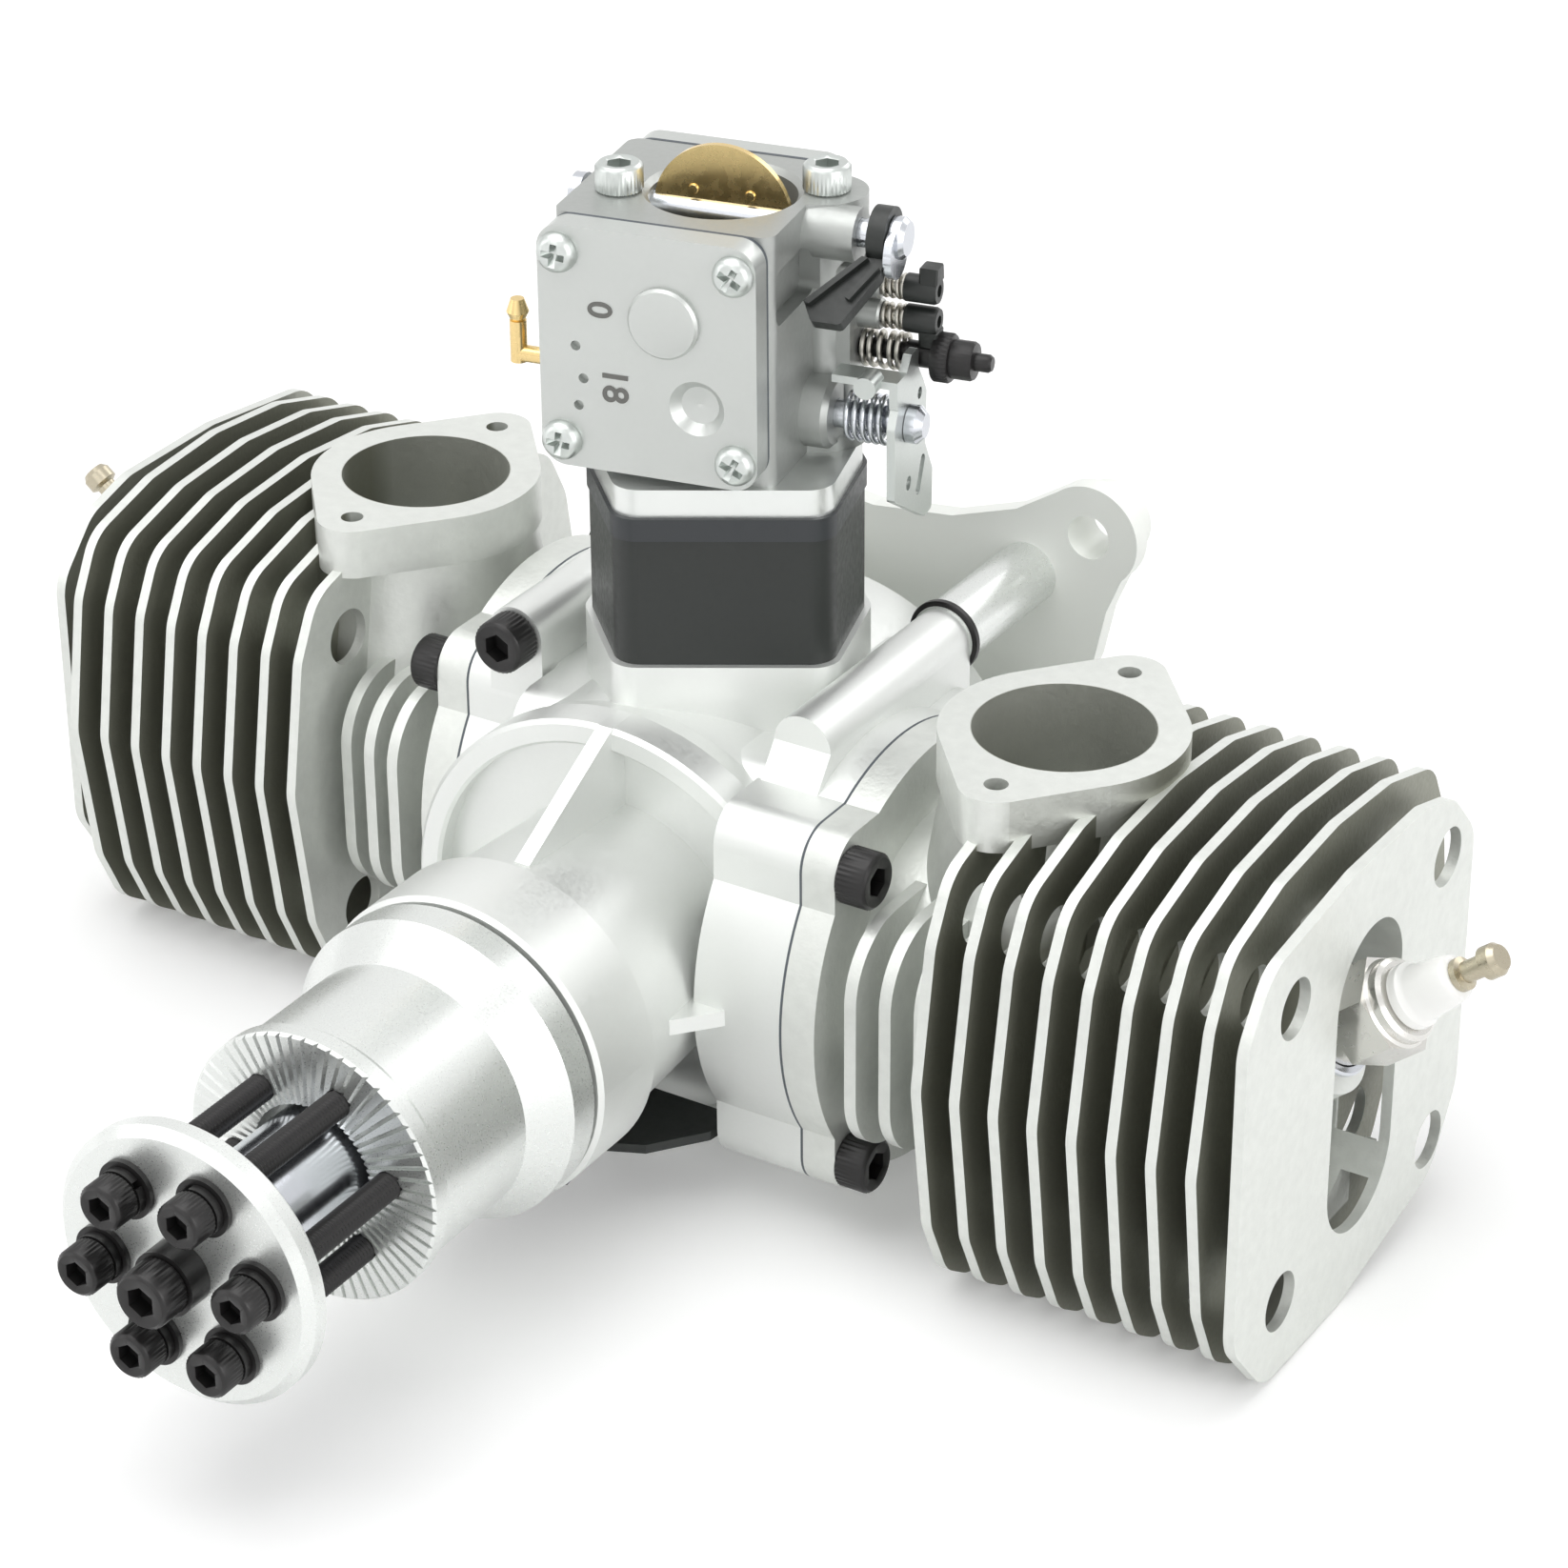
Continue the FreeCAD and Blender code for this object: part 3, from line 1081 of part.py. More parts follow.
# Corners of the throttle lever: first number down from the spindle, second rearwards.
LEVER_OUTLINE = [(-12.4, 4.8), (-8.6, 4.8), (-5.4, 7.3), (-2.5, 9.2), (2, 9), (7.4, 8.7), (14, 12.8),
                 (21.6, 12.6),
                 (21.6, 8.6), (11.9, -7.3), (-1.7, -7.5), (-7, -4.4), (-12.4, 1)]
lever_plate = extruded("lever_plate", LEVER_OUTLINE, lever_t, (lever_u, 0, 0), "x", 0.9)
slot_points = [(9.82, 9.04), (8.7, 6.92), (15.08, 3.56), (16.2, 5.68)]
lever_holes = [
    rod("lever_hole", 1.3, 4, (lever_u - 1, 0, -11.4), "x"),
    rod("lever_small_hole", 1.1, 4, (lever_u - 1, 5.6, 3.4), "x"),
    extruded("lever_slot", slot_points, 4, (lever_u - 1, 0, 0), "x", 1.1),
    rod("lever_eye", lever_r + fit, 6, (lever_u - 2, 0, 0), "x")]
# A flat tab reaches over the spring and carries a short pin.
lever_tab = block("lever_tab", (10.5, 5, 1.4), (lever_u - 10.5, -6.2, 8.6))
lever_bend = block("lever_bend", (lever_t, 5, 5), (lever_u, -6.2, 5))
lever_pin = rod("lever_pin", 2, 4.6, (lever_u - 3.4, -9.4, 9.6), "y")
keep("throttle_lever", on_carb("throttle_lever", [stand(
    "throttle_lever_drawn", [cut("throttle_lever_solid", fuse(
        "throttle_lever_joined", [lever_plate, lever_tab, lever_bend, lever_pin]), lever_holes)],
    (0, 0, throttle_up), Vector(1, 0, 0), 0)]))

# Choke lever: a hub on the spindle and a broad ribbed finger that leans towards the throat.
arm_u = 27.4
arm_t = 2.6
choke_arm = extruded("choke_arm", [
    (0.2, -4.4), (3.4, -4.4), (3.4, 8), (-1.2, 18), (-6.4, 18), (-8.2, 15), (-0.2, 5.4)],
    arm_t, (0, 0, -arm_t / 2), "z", 1)
choke_rib = extruded("choke_rib", [(-0.2, 5.4), (0.9, 5.6), (-7.1, 15.4), (-8.2, 15)], arm_t,
                     (0, 0, -arm_t / 2 - 1.2))
choke_ridge = extruded("choke_ridge", [(2.3, 6.6), (3.2, 7), (-0.4, 13.6), (-1.3, 13.2)], arm_t,
                       (0, 0, -arm_t / 2 - 1))
choke_hub = rod("choke_lever_hub", 5.2, 3.2, (0.2, 0, 0), "x")
choke_eye = rod("choke_lever_eye", lever_r + fit, 8, (-2, 0, 0), "x")
CHOKE_REST = 222
keep("choke_lever", on_carb("choke_lever", [stand(
    "choke_lever_drawn", [cut("choke_lever_solid", fuse(
        "choke_lever_joined", [choke_arm, choke_rib, choke_ridge, choke_hub]), [choke_eye])],
    (arm_u, 0, choke_up), Vector(1, 0, 0), CHOKE_REST)]))

# Return spring of the throttle, a coil around its spindle.
coil = doc.addObject("Part::Helix", "throttle_coil")
coil.Pitch = 1.5
coil.Height = 7.5
coil.Radius = 4
wire = doc.addObject("Part::Circle", "throttle_wire")
wire.Radius = 0.5
wire.Placement = Placement(Vector(4, 0, 0), Rotation(Vector(1, 0, 0), 90))
spring_sweep = doc.addObject("Part::Sweep", "throttle_spring_sweep")
spring_sweep.Sections = [wire]
spring_sweep.Spine = (coil, ["Edge1"])
spring_sweep.Solid = True
spring_sweep.Frenet = True
keep("throttle_spring", on_carb("throttle_spring", [stand(
    "throttle_spring_drawn", [spring_sweep], (carb_right + 6.8, 0, throttle_up), Vector(0, 1, 0), 90)]))


def adjuster(name, up, reach, head_radius, head):
    """An adjusting screw with a knurled or slotted head, standing out of the right side."""
    return turned(name, [
        (0, needle_in), (needle_r, needle_in), (needle_r, carb_right + reach),
        (head_radius, carb_right + reach), (head_radius, carb_right + reach + head - 0.5),
        (head_radius - 0.5, carb_right + reach + head), (0, carb_right + reach + head)],
        (0, needle_w, up), "x")


keep("mixture_needles", on_carb("mixture_needles", [
    adjuster("needle_low", needle_up[1], 16, 2.7, 4.5), adjuster("needle_high", needle_up[0], 16, 2.7, 4.5)]))
keep("idle_screw", on_carb("idle_screw", [adjuster("idle_screw_turned", idle_up, 19.5, 3.1, 10)]))

# Mount plate with its pads, standoffs and the long case screws.
mount_x = size("mount_half_x")
mount_top = size("mount_top_z")
mount_low = size("mount_low_z")
pad_h = size("mount_pad_h")
arm_r = size("arm_r")
EDGE = [(0, 47.2), (17, 49.2), (30.5, 53.9), (41.4, 60.9), (54.9, 50.2), (49.7, 37.6), (47.4, 27),
        (43.4, 17.5), (43.4, -17.5), (47.4, -21.5), (54.9, -32), (41.4, -42.3), (30.5, -41.2), (17, -37),
        (0, -35)]
outline = [(x, -z) for x, z in EDGE] + [(-x, -z) for x, z in reversed(EDGE[1:-1])]
plate_solid = [extruded("mount_sheet", outline, plate_t, (0, plate_front, 0), "y")]
mount_holes = []
for index, (side, height) in enumerate(((1, mount_top), (-1, mount_top), (1, -mount_low), (-1, -mount_low))):
    number = str(index + 1)
    at = (mount_x * side, plate_front, height)
    plate_solid.append(rod("mount_arm_" + number, arm_r, plate_t, at, "y"))
    plate_solid.append(rod("mount_pad_" + number, size("mount_pad_r"), plate_t + pad_h, at, "y"))
    mount_holes.append(rod("mount_hole_" + number, size("mount_hole_r"), plate_t + pad_h + 2, (
        mount_x * side, plate_front - 1, height), "y"))
centre_hole = rod("mount_centre", 15, plate_t + 2, (0, plate_front - 1, 0), "y")
keep("mount_plate", cut("mount_plate", fuse("mount_plate_solid", plate_solid), mount_holes + [centre_hole]
                        + stud_holes))

standoffs = []
for index, (place_x, place_z) in enumerate(STUDS, start=1):
    number = str(index)
    start = shoulder_rear if place_x > 0 else left_y + size("shoulder_rear")
    tube = rod("standoff_tube_" + number, boss_r + 0.4, plate_front - start,
               (stud_x * place_x, start, place_z), "y")
    way = rod("standoff_way_" + number, m6_r + 0.2, 90, (stud_x * place_x, mid - 16, place_z), "y")
    standoffs.append(cut("standoff_" + number, tube, [way]))
keep("standoffs", group("standoffs", standoffs))
long_len = plate_front + plate_t - 1 - boss_left_front
rear_len = size("plate_rear_y") + plate_t + 15
case_screws = []
for index, (place_x, place_z) in enumerate(STUDS, start=1):
    if place_x < 0:
        case_screws.append(cap_screw("case_screw_" + str(index), m6_r, m6_head_r, m6_head_len, long_len, (
            stud_x * place_x, boss_left_front, place_z), "y"))
    else:
        case_screws.append(cap_screw("case_screw_" + str(index), m6_r, m6_head_r, 5, rear_len, (
            stud_x * place_x, plate_front + plate_t, place_z), "-y"))
keep("case_screws", group("case_screws", case_screws))

# Ignition sensor: a thin black carrier plate from the front rim to under the hub's flange.
sensor_t = 1.8
sensor_tip = nose_front - 4.6
SENSOR_EDGE = [(5.8, 8), (5.8, 14.5), (8.4, 16.4), (11.6, 18.4), (11, 24.5), (10.5, 30.5), (17.9, 33.8),
               (25.3, 43.4)]
sensor_rear = rim_front - fit
sensor_side = [(26.4, sensor_rear)]
sensor_side += [(x, sensor_tip + y) for x, y in reversed(SENSOR_EDGE)]
sensor_side.append((3.6, sensor_tip))
sensor_points = sensor_side + [(-x, y) for x, y in reversed(sensor_side)]
sensor_z = -nose_r - gap - sensor_t
sensor_slot = block("sensor_slot", (rib_t + 1, 40, sensor_t + 2),
                    (-rib_t / 2 - 0.5, flange_end + 4, sensor_z - 1))
keep("ignition_sensor", cut("ignition_sensor", extruded(
    "sensor_sheet", sensor_points, sensor_t, (0, 0, sensor_z)), [sensor_slot]))

# Bearings and seal in the nose and rear cover; inner rings turn with the crank.
inner_r = shaft_r + 3
outer_in = bearing_r - 3
main_front = mid - chamber_half - 1 - bearing_w
BEARING_STARTS = (nose_front + 4.8, main_front)
outer_rings = []
inner_rings = []
for index, start in enumerate(BEARING_STARTS, start=1):
    number = str(index)
    outer_rings.append(turned("outer_ring_" + number, [
        (outer_in, 0), (bearing_r, 0), (bearing_r, bearing_w), (outer_in, bearing_w)], (0, start, 0), "y"))
    inner_rings.append(turned("inner_ring_" + number, [
        (shaft_r + fit, 0), (inner_r, 0), (inner_r, bearing_w), (shaft_r + fit, bearing_w)],
        (0, start, 0), "y"))
rear_start = case_back + 0.5
rear_w = 9
outer_rings.append(turned("outer_ring_3", [
    (shaft_r + 4, 0), (bearing_r - 3 - fit, 0), (bearing_r - 3 - fit, rear_w), (shaft_r + 4, rear_w)],
    (0, rear_start, 0), "y"))
inner_rings.append(turned("inner_ring_3", [
    (shaft_r + fit, 0), (shaft_r + 2.4, 0), (shaft_r + 2.4, rear_w), (shaft_r + fit, rear_w)],
    (0, rear_start, 0), "y"))
keep("bearing_outer_rings", group("bearing_outer_rings", outer_rings))
keep("bearing_inner_rings", group("bearing_inner_rings", inner_rings))
keep("shaft_seal", turned("shaft_seal", [
    (shaft_r + slide, 0), (bearing_r, 0), (bearing_r, 4), (shaft_r + 2, 4), (shaft_r + 1, 3),
    (shaft_r + slide, 1.5)],
    (0, nose_front + 0.5, 0), "y"))

# Crank train: two end webs with their shafts, a middle web, rods, wrist pins and pistons.
throw = size("crank_throw")
web_t = size("web_thick")
pin_r = size("pin_r")
web_near = offset + rod_w / 2 + 0.6
front_web = mid - web_near - web_t
front_shaft = turned("crank_front_turned", [
    (0, recess_depth), (shaft_r - 0.6, recess_depth), (shaft_r, recess_depth + 0.6), (shaft_r, front_web),
    (web_r - 0.8, front_web), (web_r, front_web + 0.8), (web_r, front_web + web_t), (0, front_web + web_t)],
    turn="y")
centre_tap = rod("centre_tap", m6_r + fit, 24, (0, recess_depth - 1, 0), "y")
keep("crank_front", cut("crank_front", front_shaft, [
    centre_tap, rod("front_hollow_1", 5, 20, (throw + 4, front_web - 1, 11), "y"),
    rod("front_hollow_2", 5, 20, (throw + 4, front_web - 1, -11), "y")]))
mid_web_half = offset - rod_w / 2 - 0.6
rear_web = mid + web_near
stub_len = 10.8
mid_web = turned("crank_mid_turned", [
    (0, -mid_web_half), (web_r - 0.8, -mid_web_half), (web_r, 0.8 - mid_web_half), (web_r, mid_web_half),
    (0, mid_web_half)], (0, mid, 0), "y")
rear_shaft = turned("crank_rear_turned", [
    (0, rear_web), (web_r, rear_web), (web_r, rear_web + web_t - 0.8), (web_r - 0.8, rear_web + web_t),
    (shaft_r, rear_web + web_t), (shaft_r, rear_web + web_t + stub_len), (0, rear_web + web_t + stub_len)],
    turn="y")
keep("crank_rear", group("crank_rear", [mid_web, cut("crank_rear_drawn", rear_shaft, [
    rod("rear_hollow_1", 5, 12, (-throw - 4, rear_web - 1, 11), "y"),
    rod("rear_hollow_2", 5, 12, (-throw - 4, rear_web - 1, -11), "y")])]))

rod_len = size("rod_len")
small_r = size("small_end_r")
wrist_r = size("wrist_r")
wrist_x = throw + rod_len
rod_y = right_y - rod_w / 2
rod_solid = fuse("rod_solid", [
    rod("big_end", big_r, rod_w, (throw, rod_y, 0), "y"),
    rod("small_end", small_r, rod_w, (wrist_x, rod_y, 0), "y"),
    extruded("rod_beam", [(throw + 8, -6.5), (wrist_x - 6, -4.5), (wrist_x - 6, 4.5), (throw + 8, 6.5)],
             rod_w - 5, (0, rod_y + 2.5, 0), "y")])
web_cut = extruded("rod_web_cut", [
    (throw + 14, -3.6), (wrist_x - 11, -2.4), (wrist_x - 11, 2.4), (throw + 14, 3.6)], 3,
    (0, rod_y - 0.2, 0), "y", 1)
rod_done = cut("rod_done", rod_solid, [
    rod("big_eye", pin_r + fit, 20, (throw, rod_y - 1, 0), "y"),
    rod("small_eye", wrist_r + slide, 20, (wrist_x, rod_y - 1, 0), "y"),
    copy_of("rod_web_front", web_cut, (0, 2.4, 0)), copy_of("rod_web_rear", web_cut, (0, 7.9 , 0))])
both_sides("connecting_rod", group("connecting_rod_drawn", [
    rod_done, rod("crankpin", pin_r, rod_w + 0.4, (throw, rod_y - 0.2, 0), "y")]))

piston_r = bore_r - size("piston_gap")
crown_h = size("crown_h")
skirt_h = size("skirt_h")
piston_wall = 3
ring_t = 1.2
ring_deep = 2
ring_points = []
for depth in (3.5, 7.7):
    ring_points += [(piston_r, crown_h - depth), (piston_r - ring_deep, crown_h - depth),
                    (piston_r - ring_deep, crown_h - depth - ring_t), (piston_r, crown_h - depth - ring_t)]
inner_piston = piston_r - piston_wall
crown_in = crown_h - 5
piston_turned = turned("piston_turned", [
    (0, crown_in), (0, crown_h), (piston_r - 0.6, crown_h), (piston_r, crown_h - 0.6)] + ring_points + [
    (piston_r, -skirt_h), (inner_piston, -skirt_h), (inner_piston, crown_in - 2),
    (inner_piston - 2, crown_in)],
    (wrist_x, right_y, 0), "x")
boss_in = rod_w / 2 + 1
pin_bosses = []
for side in (-1, 1):
    start = right_y + boss_in if side > 0 else right_y - inner_piston - 1
    pin_bosses.append(rod("piston_boss_" + str(side + 2), wrist_r + 3.2, inner_piston - boss_in + 1,
                          (wrist_x, start, 0), "y"))
wrist_half = piston_r - 2.4
piston_skin = rod("piston_skin", piston_r, skirt_h + crown_h + 4, (wrist_x - skirt_h - 2, right_y, 0), "x")
both_sides("piston", cut("piston_drawn", common("piston_trim", [
    fuse("piston_solid", [piston_turned] + pin_bosses), piston_skin]),
    [rod("piston_pin_way", wrist_r + fit, wrist_half * 2, (wrist_x, right_y - wrist_half, 0), "y")]))
rings = []
for index, depth in enumerate((3.5, 7.7), start=1):
    rings.append(turned("piston_ring_" + str(index), [
        (piston_r - ring_deep + 0.1, fit), (piston_r + 0.02, fit), (piston_r + 0.02, ring_t - fit),
        (piston_r - ring_deep + 0.1, ring_t - fit)], (wrist_x + crown_h - depth - ring_t, right_y, 0), "x"))
both_sides("piston_rings", group("piston_rings_drawn", rings))
both_sides("wrist_pin", rod(
    "wrist_pin_drawn", wrist_r, wrist_half * 2 - 0.4, (wrist_x, right_y - wrist_half + 0.2, 0), "y"))

# Build everything, test it and write one file for each sub-part.
doc.recompute()
for item in doc.Objects:
    if "Invalid" in item.State or "Error" in item.State:
        raise RuntimeError("not built: " + item.Name)
for name, item in finals.items():
    if item.Shape.isNull() or not item.Shape.isValid() or not item.Shape.Solids:
        raise RuntimeError("bad shape: " + name)
os.makedirs("parts", exist_ok=True)
for name, item in finals.items():
    item.Shape.exportStep("parts/" + name + ".step")
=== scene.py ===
import math

import bmesh
import bpy
from mathutils import Matrix, Vector


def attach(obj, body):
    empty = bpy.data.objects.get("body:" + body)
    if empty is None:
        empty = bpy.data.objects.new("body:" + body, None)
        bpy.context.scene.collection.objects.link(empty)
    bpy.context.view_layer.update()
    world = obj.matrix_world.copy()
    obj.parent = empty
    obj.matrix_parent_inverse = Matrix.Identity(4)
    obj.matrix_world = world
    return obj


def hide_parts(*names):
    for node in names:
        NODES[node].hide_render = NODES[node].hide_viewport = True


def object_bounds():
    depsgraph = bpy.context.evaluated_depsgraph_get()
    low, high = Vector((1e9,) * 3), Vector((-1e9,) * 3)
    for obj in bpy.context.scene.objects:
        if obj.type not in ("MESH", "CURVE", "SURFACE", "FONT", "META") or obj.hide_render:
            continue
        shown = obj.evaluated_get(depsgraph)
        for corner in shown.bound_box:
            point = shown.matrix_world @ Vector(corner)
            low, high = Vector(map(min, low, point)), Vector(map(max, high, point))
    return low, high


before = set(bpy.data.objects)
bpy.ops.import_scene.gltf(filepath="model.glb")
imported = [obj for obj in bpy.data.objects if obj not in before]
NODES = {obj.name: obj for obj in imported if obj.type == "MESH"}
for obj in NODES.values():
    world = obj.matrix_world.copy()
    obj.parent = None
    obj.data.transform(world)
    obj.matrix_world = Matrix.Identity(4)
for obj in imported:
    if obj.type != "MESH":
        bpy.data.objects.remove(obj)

bl_info = {
    "name": "Flat Engine Dresser",
    "version": (1, 0, 0),
    "blender": (4, 5, 0),
    "location": "View3D > Sidebar > Engine",
    "description": "Gives the flat twin engine its finishes and small fittings, and lights it",
    "category": "Object",
}

CAD_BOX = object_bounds()

# Camera of the photograph, in the engine's frame, in metres.
CAMERA_AT = (0.410586, -0.511753, 0.429684)
CAMERA_RIGHT = (0.85008, 0.52663, -0.00508)
CAMERA_UP = (-0.25008, 0.41212, 0.87614)
CAMERA_BACK = (0.46349, -0.74352, 0.48203)
SENSOR_MM = 36.0

# The stage in metres. The floor's glow: where it starts and ends to rise, and its two levels.
FLOOR_GAP = 0.0002
FLOOR_HALF = 6.0
FLOOR_GLOW = (0.5, 2.0, 0.16, 1.0)
ENGINE_MIDDLE = (0, 0.1, 0.03)

MM = 0.001
FULL = 2 * math.pi

# Places in millimetres: the middle between the cylinders, their axes, the carburettor and the plugs.
MID = 128.4
AXIS_STEP = 13.7
CARB = Matrix.Translation((0, MID, 81.4)) @ Matrix.Rotation(math.radians(11.3), 4, "Z")
EARS = CARB @ Matrix.Rotation(math.radians(19.7), 4, "Z")
HALF_TURN = Matrix.Translation((0, 2 * MID, 0)) @ Matrix.Rotation(math.pi, 4, "Z")
PLUG = Matrix.Translation((127, MID - AXIS_STEP, 5.7)) @ Matrix.Rotation(math.radians(51), 4, "Y")
SIDES = (("right", Matrix.Identity(4)), ("left", HALF_TURN))

# Screw places in millimetres. The propeller screws' first angle is in degrees.
PROP_CIRCLE = 15.65
PROP_START = 7.3
PROP_FACE = -36.9
CENTRE_FACE = -38.9
CASE_SCREW_ACROSS = 33
CASE_SCREW_HEIGHTS = (41.5, -35.5)
BASE_FACE = 50.8
BASE_ACROSS = 28.9
BASE_UP = 28.6
EAR_ACROSS = 17.75
EAR_FACE = 46
COVER_FACE = -24.3
NEEDLE_FACE = (22.3, 8)

# Socket cap screws in millimetres: shank radius, head radius and head height.
M5 = (2.5, 4.2, 5)
M6 = (3, 5.1, 6)
M6_LOW = (3, 5.1, 5)

# A split washer's share of a full turn, and the smallest angle in degrees that shades as a sharp edge.
SPLIT = 0.955
SHARP_ANGLE = 34

# Where a cylinder's colour turns dark: the fin faces, partly their dull as-cast tone and partly painted
# shade, plus painted shade on the barrel between the fins and inside the exhaust duct. Each edge fades
# from its first number to its second.
# From the crank axis, in metres.
FIN_START = (0.0748, 0.0751)
PLATE_START = (0.1328, 0.1335)
OPENING_FLOOR = (0.1172, 0.1176)
DUCT_AXIS = 0.076
# From the cylinder's own axis, in metres.
OPENING_HALF_WIDTH = (0.0128, 0.0132)
OPENING_HALF_HEIGHT = (0.0345, 0.035)
# Squared radii, in square metres.
# Radius inside which the barrel gets painted shade.
BARREL_SHADE_EDGE = (0.0009, 0.0011)
# Radius inside which the exhaust duct gets painted shade.
DUCT_SHADE_EDGE = (0.000252, 0.000256)
# Shares of one.
FACE_TILT = (0.02, 0.3)
# How strongly painted shade darkens the inside of the exhaust duct.
DUCT_SHADE_DEPTH = 0.6

# Surfaces: metallic, roughness, wander of the colour, grain, bump strength, bump depth in metres, cloud.
SURFACES = {
    "blasted_case": (0.75, 0.42, 0.05, 1400, 0.12, 0.00005, 40),
    "cast_cylinder_right": (0.6, 0.42, 0.14, 1100, 0.5, 0.00012, 420),
    "cast_cylinder_left": (0.6, 0.42, 0.14, 1100, 0.5, 0.00012, 420),
    "die_cast": (0.7, 0.4, 0.1, 900, 0.2, 0.00008, 70),
    "die_cast_cover": (0.7, 0.36, 0.06, 900, 0.15, 0.00006, 70),
    "cast_mark": (0.5, 0.5, 0.1, 900, 0.1, 0.00004, 70),
    "turned_aluminium": (0.85, 0.3, 0.03, 3000, 0.02, 0.00001, 30),
    "milled_plate": (0.85, 0.33, 0.06, 700, 0.1, 0.00005, 40),
    "satin_plate": (0.15, 0.5, 0.04, 900, 0.08, 0.00004, 40),
    "ground_steel": (1.0, 0.2, 0.05, 700, 0.06, 0.00003, 40),
    "spring_steel": (1.0, 0.3, 0.1, 700, 0.06, 0.00003, 80),
    "black_oxide": (0.4, 0.34, 0.2, 800, 0.1, 0.00004, 120),
    "zinc_plate": (1.0, 0.33, 0.08, 2500, 0.03, 0.00002, 90),
    "plain_brass": (1.0, 0.26, 0.12, 600, 0.08, 0.00004, 90),
    "nickel_plate": (1.0, 0.22, 0.06, 700, 0.06, 0.00003, 80),
    "tarnished_brass": (1.0, 0.28, 0.15, 700, 0.06, 0.00003, 90),
    "black_moulding": (0.0, 0.42, 0.2, 900, 0.2, 0.00008, 90),
    "gasket_sheet": (0.0, 0.6, 0.2, 900, 0.2, 0.00008, 90),
    "smooth_gasket": (0.0, 0.36, 0.15, 900, 0.1, 0.00004, 90),
    "white_glaze": (0.0, 0.14, 0.03, 300, 0.03, 0.00002, 60),
}


class StageSettings(bpy.types.PropertyGroup):
    lens: bpy.props.FloatProperty(
        name="Lens", description="Focal length on the 36 mm sensor", default=109.12, min=20, max=300)
    floor_colour: bpy.props.FloatVectorProperty(
        name="Floor", description="Colour of the pale floor", subtype="COLOR", default=(0.93, 0.93, 0.93),
        min=0, max=1)
    key_watts: bpy.props.FloatProperty(
        name="Top light", description="Power of the large light overhead", default=15.0, min=0,
        unit="POWER")
    side_watts: bpy.props.FloatProperty(
        name="Side light", description="Power of the light from the right", default=9.0, min=0,
        unit="POWER")
    world_level: bpy.props.FloatProperty(
        name="Room", description="Level of the light from all round", default=0.42, min=0, max=2)


class FinishSettings(bpy.types.PropertyGroup):
    case_colour: bpy.props.FloatVectorProperty(
        name="Crankcase", description="Blasted aluminium of the crankcase", subtype="COLOR",
        default=(0.81, 0.826, 0.805), min=0, max=1)
    cast_colour: bpy.props.FloatVectorProperty(
        name="Cylinders", description="Cast aluminium of the cylinders", subtype="COLOR",
        default=(0.78, 0.80, 0.765), min=0, max=1)
    # Colour of the fin faces, partly their as-cast tone and partly painted shade between the fins; the
    # same colour paints shade on the barrel and inside the exhaust duct.
    gap_skin_and_shade: bpy.props.FloatVectorProperty(
        name="Fin gaps", description="Dull cast skin between the fins", subtype="COLOR",
        default=(0.27, 0.275, 0.225), min=0, max=1)
    turned_colour: bpy.props.FloatVectorProperty(
        name="Turned parts", description="Machined aluminium of hub and washer", subtype="COLOR",
        default=(0.78, 0.80, 0.78), min=0, max=1)
    steel_colour: bpy.props.FloatVectorProperty(
        name="Steel", description="Ground steel of shafts", subtype="COLOR", default=(0.62, 0.64, 0.68),
        min=0, max=1)
    zinc_colour: bpy.props.FloatVectorProperty(
        name="Zinc", description="Zinc plated screws and lever", subtype="COLOR",
        default=(0.60, 0.63, 0.61), min=0, max=1)
    black_colour: bpy.props.FloatVectorProperty(
        name="Black screws", description="Black oxide of the cap screws", subtype="COLOR",
        default=(0.025, 0.024, 0.024), min=0, max=1)
    brass_colour: bpy.props.FloatVectorProperty(
        name="Brass", description="Brass of elbow and butterflies", subtype="COLOR",
        default=(0.83, 0.63, 0.30), min=0, max=1)
    carb_colour: bpy.props.FloatVectorProperty(
        name="Carburettor", description="Die-cast metal of the carburettor", subtype="COLOR",
        default=(0.445, 0.46, 0.445), min=0, max=1)


def settings(name):
    """A property group of the scene."""
    return getattr(bpy.context.scene, name)


def new_surface(name):
    """A fresh material with its shader and its shading coordinates."""
    surface = bpy.data.materials.new(name)
    surface.use_nodes = True
    nodes = surface.node_tree.nodes
    shader = nodes["Principled BSDF"]
    place = nodes.new("ShaderNodeTexCoord")
    return surface, shader, place


def link(surface, source, target):
    """Joins two sockets of a surface's nodes."""
    surface.node_tree.links.new(source, target)


def noise(surface, place, scale, detail=4.0, stretch=(1, 1, 1)):
    """Noise over the piece's own coordinates, stretched where a direction is wanted."""
    nodes = surface.node_tree.nodes
    mapping = nodes.new("ShaderNodeMapping")
    mapping.inputs["Scale"].default_value = stretch
    texture = nodes.new("ShaderNodeTexNoise")
    texture.inputs["Scale"].default_value = scale
    texture.inputs["Detail"].default_value = detail
    link(surface, place.outputs["Object"], mapping.inputs["Vector"])
    link(surface, mapping.outputs["Vector"], texture.inputs["Vector"])
    return texture


def spread(surface, source, low, high):
    """Maps a noise to a range of values."""
    node = surface.node_tree.nodes.new("ShaderNodeMapRange")
    node.inputs["From Min"].default_value = 0.3
    node.inputs["From Max"].default_value = 0.7
    node.inputs["To Min"].default_value = low
    node.inputs["To Max"].default_value = high
    link(surface, source.outputs["Fac"], node.inputs["Value"])
    return node


def tint(surface, source, colour, depth):
    """Lets a colour wander slightly darker and lighter with a noise."""
    node = surface.node_tree.nodes.new("ShaderNodeMix")
    node.data_type = "RGBA"
    dark = [channel * (1 - depth) for channel in colour]
    node.inputs["A"].default_value = (*dark, 1)
    node.inputs["B"].default_value = (*colour, 1)
    link(surface, source.outputs["Fac"], node.inputs["Factor"])
    return node


